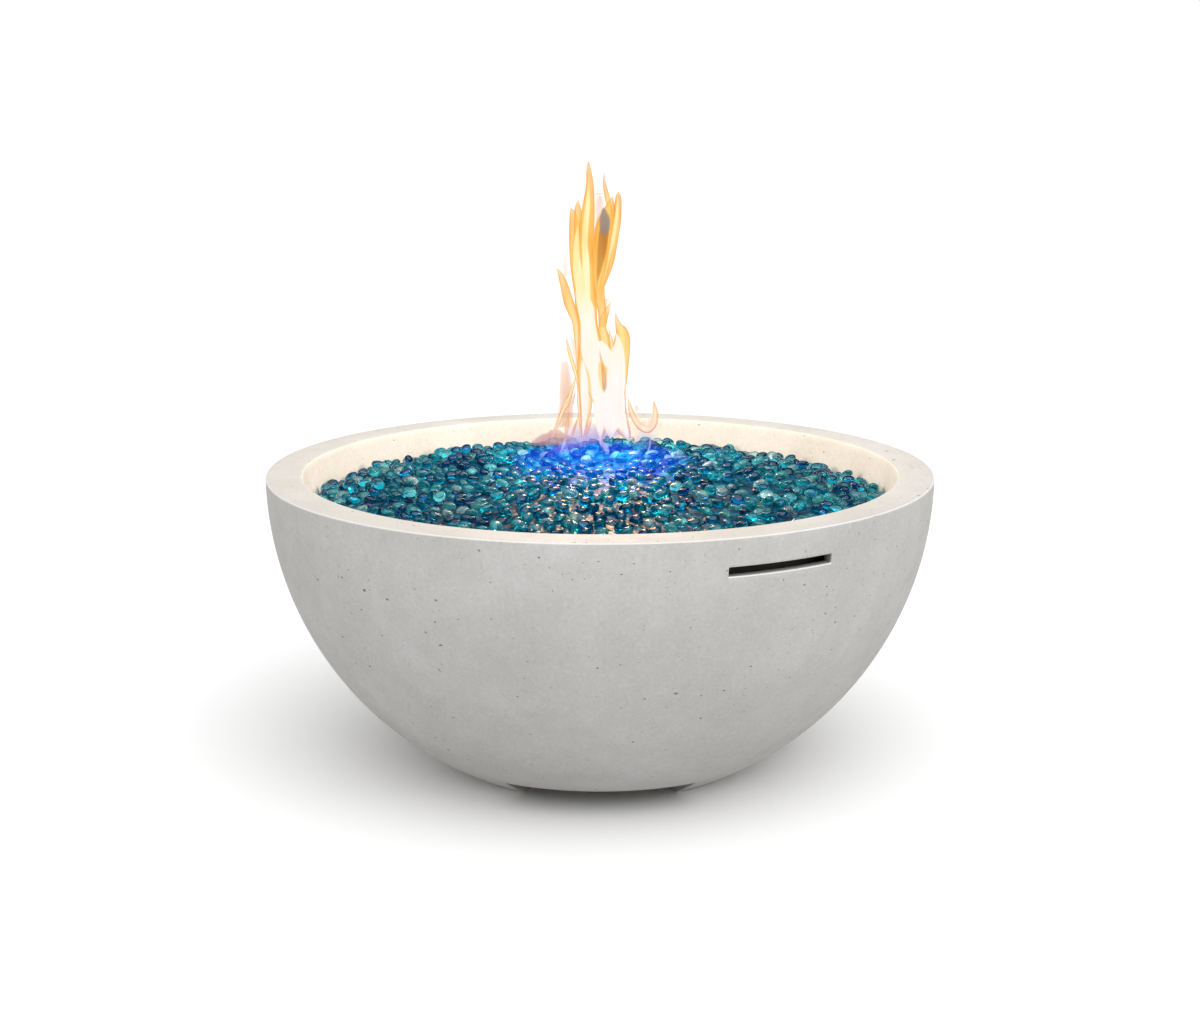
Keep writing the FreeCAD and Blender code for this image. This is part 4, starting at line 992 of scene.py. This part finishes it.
seam_paths = {
    "seam_left": [
        (-29.4, 621.1, 0.3), (-28.2, 604.7, 1), (-28.3, 591.6, 1.1), (-29.5, 570.7, 0.9),
        (-30.9, 557.5, 0.3)],
    "seam_top": [(-13.5, 735.8, 0.4), (-14.4, 722.1, 1.8), (-13.8, 708.3, 1.9), (-13.3, 697.3, 0.6)],
}
violet_paths = {
    "mist_middle": [(-22, 467, 3), (-21, 457, 30), (-17, 447, 50), (-14, 436, 62)],
    "mist_right": [(62.3, 452.8, 4.3), (62.6, 446.9, 15.5), (63.1, 439.6, 17), (63.1, 433.8, 16.1)],
}
wisp_paths = {
    "wisp_left": [(-48.2, 447.3, 1.4), (-50.4, 439.4, 2.4), (-53.5, 430.8, 1.7), (-57.5, 422.9, 0.6)],
    "wisp_middle": [(-24.2, 449.5, 1.1), (-26.3, 440.9, 1.1), (-28, 433.7, 0.4)],
    "wisp_foot": [(0.6, 449.5, 1.7), (2, 442.3, 3.4), (7.6, 435.1, 3.7), (13.3, 429.3, 1.1)],
    "wisp_right": [(70.1, 449.5, 1.3), (68.8, 436.5, 1.7), (65.4, 425, 1.1), (62.7, 407.7, 0.4)],
}


def smooth_path(knots, steps=44):
    """A Catmull-Rom curve through the knots of a tongue: across, up and half its width."""
    knots = np.array(knots, float)
    padded = np.vstack((2 * knots[0] - knots[1], knots, 2 * knots[-1] - knots[-2]))
    rows = []
    for spot in np.linspace(0, len(knots) - 1 - 1e-9, steps):
        k, t = int(spot), spot - int(spot)
        p0, p1, p2, p3 = padded[k:k + 4]
        rows.append(0.5 * (2 * p1 + (p2 - p0) * t + (2 * p0 - 5 * p1 + 4 * p2 - p3) * t**2
                           + (3 * p1 - p0 - 3 * p2 + p3) * t**3))
    rows = np.array(rows)
    rows[:, 2] = np.maximum(rows[:, 2], 0.25)
    return rows


def fill_with_gas(tree, colour, thickness):
    """Gives a material clear gas that glows in its colour and hides what is behind it by as much."""
    hiding = add(tree, "VolumeAbsorption", "#000000", thickness)
    glow = add(tree, "Emission", colour, thickness)
    add(tree, "OutputMaterial", {"Volume": add(tree, "AddShader", hiding, glow)})


def flame_gas(name, density, dull, bright, fade=((0.0, 0.6), (0.04, 1.0))):
    """Clear gas that glows and hides what is behind it more the deeper it is. Its colours run up the flame
    from foot to tip and vary in upright streaks 7 mm wide, and it thins out towards its foot."""
    material, tree = new_material(name)
    place = add(tree, "TexCoord").outputs["Object"]
    height = add(tree, "SeparateXYZ", place).outputs["Z"]
    level = add(tree, "MapRange", height, flame_foot * mm, flame_tip * mm)
    upright = add(tree, "VectorMath", place, (1.0, 0.2, 0.09), operation="MULTIPLY")
    streaks = add(tree, "MapRange", add(tree, "TexNoise", upright, 1 / (6.6667 * mm), 3.0, 0.6), 0.38, 0.62)
    colour = add(tree, "Mix", streaks, add(tree, "ValToRGB", level, stops=dull),
                 add(tree, "ValToRGB", level, stops=bright), data_type="RGBA")
    thickness = add(tree, "Math", add(tree, "ValToRGB", level, stops=fade), density, operation="MULTIPLY")
    fill_with_gas(tree, colour, thickness)
    return material


def tongue_skin(path, trim, plane, depth, sides=20):
    """A closed tube along a tongue, its sections ellipses that stay `trim` inside the tongue's edge."""
    along = np.gradient(path[:, :2], axis=0)
    along /= np.linalg.norm(along, axis=1, keepdims=True)
    kept = path[:, 2] > trim + 0.15
    points = []
    for (x, z, half), (dx, dz) in zip(path[kept], along[kept]):
        deep = max(half * depth, min(half, 3.0)) - 0.35 * trim
        half -= trim
        for k in range(sides):
            a = k * 2 * math.pi / sides
            side = half * math.cos(a)
            points.append((x - dz * side, plane + deep * math.sin(a), z + dx * side))
    ends = [tuple(range(sides)), tuple(range(len(points) - sides, len(points)))]
    return points, ring_faces(int(kept.sum()), sides) + ends


def stage_gas(name, shape, gas):
    """Puts a shape of gas beside the bowl, as something that throws no shadow and no light of its own."""
    data = bpy.data.meshes.new(name)
    shape.to_mesh(data)
    shape.free()
    data.materials.append(gas)
    data.shade_smooth()
    made = put_in_scene(name, data)
    made.visible_shadow = False
    made.visible_diffuse = False


def add_gas(name, skins, gas):
    """A body of gas inside the first skin and outside the second, if there is one."""
    shape = bmesh.new()
    for turned_in, (points, faces) in enumerate(skins):
        verts = [shape.verts.new(Vector(point) * mm) for point in points]
        made = [shape.faces.new([verts[k] for k in face]) for face in faces]
        bmesh.ops.recalc_face_normals(shape, faces=made)
        if turned_in:
            bmesh.ops.reverse_faces(shape, faces=made)
    stage_gas(name, shape, gas)


# Burning gas: glowing soot, orange at the skin of a tongue and yellow to white where it is hot and deep,
# peach and brown where it is thin or starved of air, and violet and lilac at the foot, where it burns clean.
# Each gas has its density to the metre and its colours at shares of the flame's height, in the dull and the
# bright streaks.
edge_gas = flame_gas(
    "orange_flame_edge", 400.0,
    ((0.0, "#8c78e8"), (0.055, "#cc98b4"), (0.12, "#f4a468"), (0.3, "#fbab48"), (1.0, "#faa040")),
    ((0.0, "#a090f0"), (0.055, "#e4b4c0"), (0.12, "#ffc284"), (0.3, "#ffc560"), (1.0, "#ffbc54")))
yellow_gas = flame_gas(
    "yellow_flame", 140.0,
    ((0.0, "#9c88f0"), (0.045, "#ccb0e0"), (0.09, "#ffdcc4"), (0.25, "#fff0b4"), (0.42, "#ffe08c"),
     (0.62, "#ffc864"), (1.0, "#ffbc54")),
    ((0.0, "#b4a4f6"), (0.045, "#e4d0ee"), (0.09, "#fff0dc"), (0.25, "#fffdd0"), (0.42, "#ffee9c"),
     (0.62, "#ffdc84"), (1.0, "#ffd478")))
white_gas = flame_gas(
    "white_flame", 500.0,
    ((0.0, "#8c7cf0"), (0.045, "#bca8f0"), (0.1, "#fff6f2"), (0.47, "#fffbe4"), (0.6, "#ffeea4")),
    ((0.0, "#a89cf6"), (0.045, "#d4c4f6"), (0.09, "#ffffff"), (0.47, "#fffff4"), (0.6, "#fff6b8")))
pale_gas = flame_gas(
    "pale_yellow_flame", 420.0,
    ((0.0, "#f0d0d8"), (0.1, "#ffe2cc"), (0.3, "#fff0b8"), (1.0, "#ffee9c")),
    ((0.0, "#fae0e0"), (0.1, "#fff6e0"), (0.3, "#fffcd4"), (1.0, "#ffffc0")))
veil_gas = flame_gas(
    "peach_veil", 150.0,
    ((0.0, "#9a80c8"), (0.04, "#bc8c98"), (0.09, "#d09a7c"), (0.2, "#e6a878"), (0.35, "#eec09a"),
     (0.7, "#f6d8cc"), (0.85, "#ecb488")),
    ((0.0, "#a890d0"), (0.04, "#cca0a4"), (0.09, "#dcaa8c"), (0.2, "#f0bc94"), (0.35, "#f6d0b4"),
     (0.7, "#fae2d8"), (0.85, "#f4c49c")),
    ((0.0, 0.24), (0.2, 1.0)))
violet_gas = flame_gas(
    "violet_mist", 38.0,
    ((0.0, "#4c54f0"), (0.05, "#8878e4"), (0.1, "#a890d8"), (1.0, "#c0a8d8")),
    ((0.0, "#6468f4"), (0.05, "#a292ec"), (0.1, "#c4ace0"), (1.0, "#d0bce0")),
    ((0.0, 1.0), (0.11, 0.4)))
ember_gas = flame_gas(
    "dull_orange_flame", 240.0,
    ((0.0, "#a8664e"), (0.22, "#a8664e"), (0.27, "#f0a04c"), (0.5, "#f0a04c"),
     (0.6, "#c07830"), (1.0, "#b06a28")),
    ((0.0, "#b87458"), (0.22, "#b87458"), (0.27, "#f8ac54"), (0.5, "#f8ac54"),
     (0.6, "#cc8438"), (1.0, "#bc7832")))
soot_gas = flame_gas(
    "sooty_hollow", 330.0,
    ((0.0, "#d4b8c0"), (0.5, "#d4b8c0"), (0.76, "#968a82"), (0.86, "#968a82"),
     (0.88, "#a06850"), (1.0, "#a06850")),
    ((0.0, "#dcc6d0"), (0.5, "#dcc6d0"), (0.76, "#a2948a"), (0.86, "#a2948a"),
     (0.88, "#b07a60"), (1.0, "#b07a60")))
wisp_gas = flame_gas(
    "lilac_wisp", 230.0,
    ((0.0, "#8c94ff"), (0.06, "#c0b4fc"), (1.0, "#e8d8f4")),
    ((0.0, "#b4b8ff"), (0.06, "#dcd4ff"), (1.0, "#f4ecfa")),
    ((0.0, 0.5), (0.05, 1.0)))

# Each tongue is a thin orange skin round a yellow core, with a hair of play between the two so that they
# don't touch. The wider bodies lie in sheets before and behind the tongues.
edge_width = 1.25
skin_play = 0.12
tongue_depth = 1.25
tongue_plane, tongue_stagger = 40.0, 3.0
for k, (name, knots) in enumerate(tongue_paths.items()):
    path, plane = smooth_path(knots), tongue_plane + tongue_stagger * math.sin(2.4 * k)
    outer, inner, core = (tongue_skin(path, trim, plane, tongue_depth)
                          for trim in (0.0, edge_width, edge_width + skin_play))
    hollow = path[:, 2].max() > edge_width + 1.0
    add_gas(f"flame_{name}", (outer, inner) if hollow else (outer,), edge_gas)
    if hollow:
        add_gas(f"flame_{name}_core", (core,), yellow_gas)
slit_planes = {"slit": 5.0, "slit_heart": 3.5, "seam_top": 14.0}
for paths, gas, planes, depth in (
    (heart_paths, white_gas, (14.0, 66.0), 0.45),
    (glow_paths, pale_gas, (20.0, 60.0), 0.8),
    (mist_paths, veil_gas, (50.0,), 0.5),
    (violet_paths, violet_gas, (42.0,), 0.35),
    (seam_paths, edge_gas, (5.0,), 1.0),
    (ember_paths, ember_gas, (20.0,), 0.6),
    (soot_paths, soot_gas, (18.0,), 0.6),
    (wisp_paths, wisp_gas, (14.0,), 0.8),
):
    for name, knots in paths.items():
        for plane, side in zip(planes, ("", "_back")):
            skin = tongue_skin(smooth_path(knots), 0.0, slit_planes.get(name, plane), depth)
            add_gas(f"flame_{name}{side}", (skin,), gas)

# Blue haze: the flame's first few millimetres over the ports, spread through the top of the glass in patches
# of 22 mm and thinner towards the front.
blue_gas, tree = new_material("blue_flame")
place = add(tree, "TexCoord").outputs["Object"]
from_front = add(tree, "SeparateXYZ", place).outputs["Y"]
patchy = add(tree, "MapRange", add(tree, "TexNoise", place, 1 / (22.222 * mm), 3.0), 0.4, 0.6, 3.5, 11.0)
patchy = add(tree, "Math", patchy, add(tree, "MapRange", from_front, -85 * mm, 50 * mm, 0.04, 1.0),
             operation="MULTIPLY")
fill_with_gas(tree, "#1450ff", patchy)
haze_half_size = (125 * mm, 115 * mm, 14 * mm)
haze_middle = (0.0, 15 * mm, 418 * mm)
shape = bmesh.new()
bmesh.ops.create_icosphere(shape, subdivisions=4, radius=1.0)
bmesh.ops.scale(shape, verts=shape.verts, vec=haze_half_size)
bmesh.ops.translate(shape, verts=shape.verts, vec=haze_middle)
stage_gas("flame_blue_haze", shape, blue_gas)

# The light that the flame throws: warm lamps up its height for the bowl, more of them only for the glints in
# the glass, and a blue one just over the glass.
flame_axis = 30 * mm
for name, height, watts in (("flame_light_low", 500, 3.2), ("flame_light_middle", 590, 2.4),
                            ("flame_light_high", 690, 3.0)):
    flame_light = add_lamp(name, "POINT", watts, "#ffebcb", shadow_soft_size=45 * mm)
    flame_light.location = (0, flame_axis, height * mm)
    flame_light.visible_glossy = False
for k in range(5):
    glint = add_lamp(f"flame_glint_{k + 1}", "POINT", 1.8, "#ffc890", shadow_soft_size=48 * mm)
    glint.location = (0, flame_axis, (525 + 55 * k) * mm)
    glint.visible_diffuse = False
blue_light = add_lamp("blue_flame_light", "AREA", 0.4, "#0c38ff", shape="DISK", size=220 * mm)
blue_light.location = (0, flame_axis, 440 * mm)
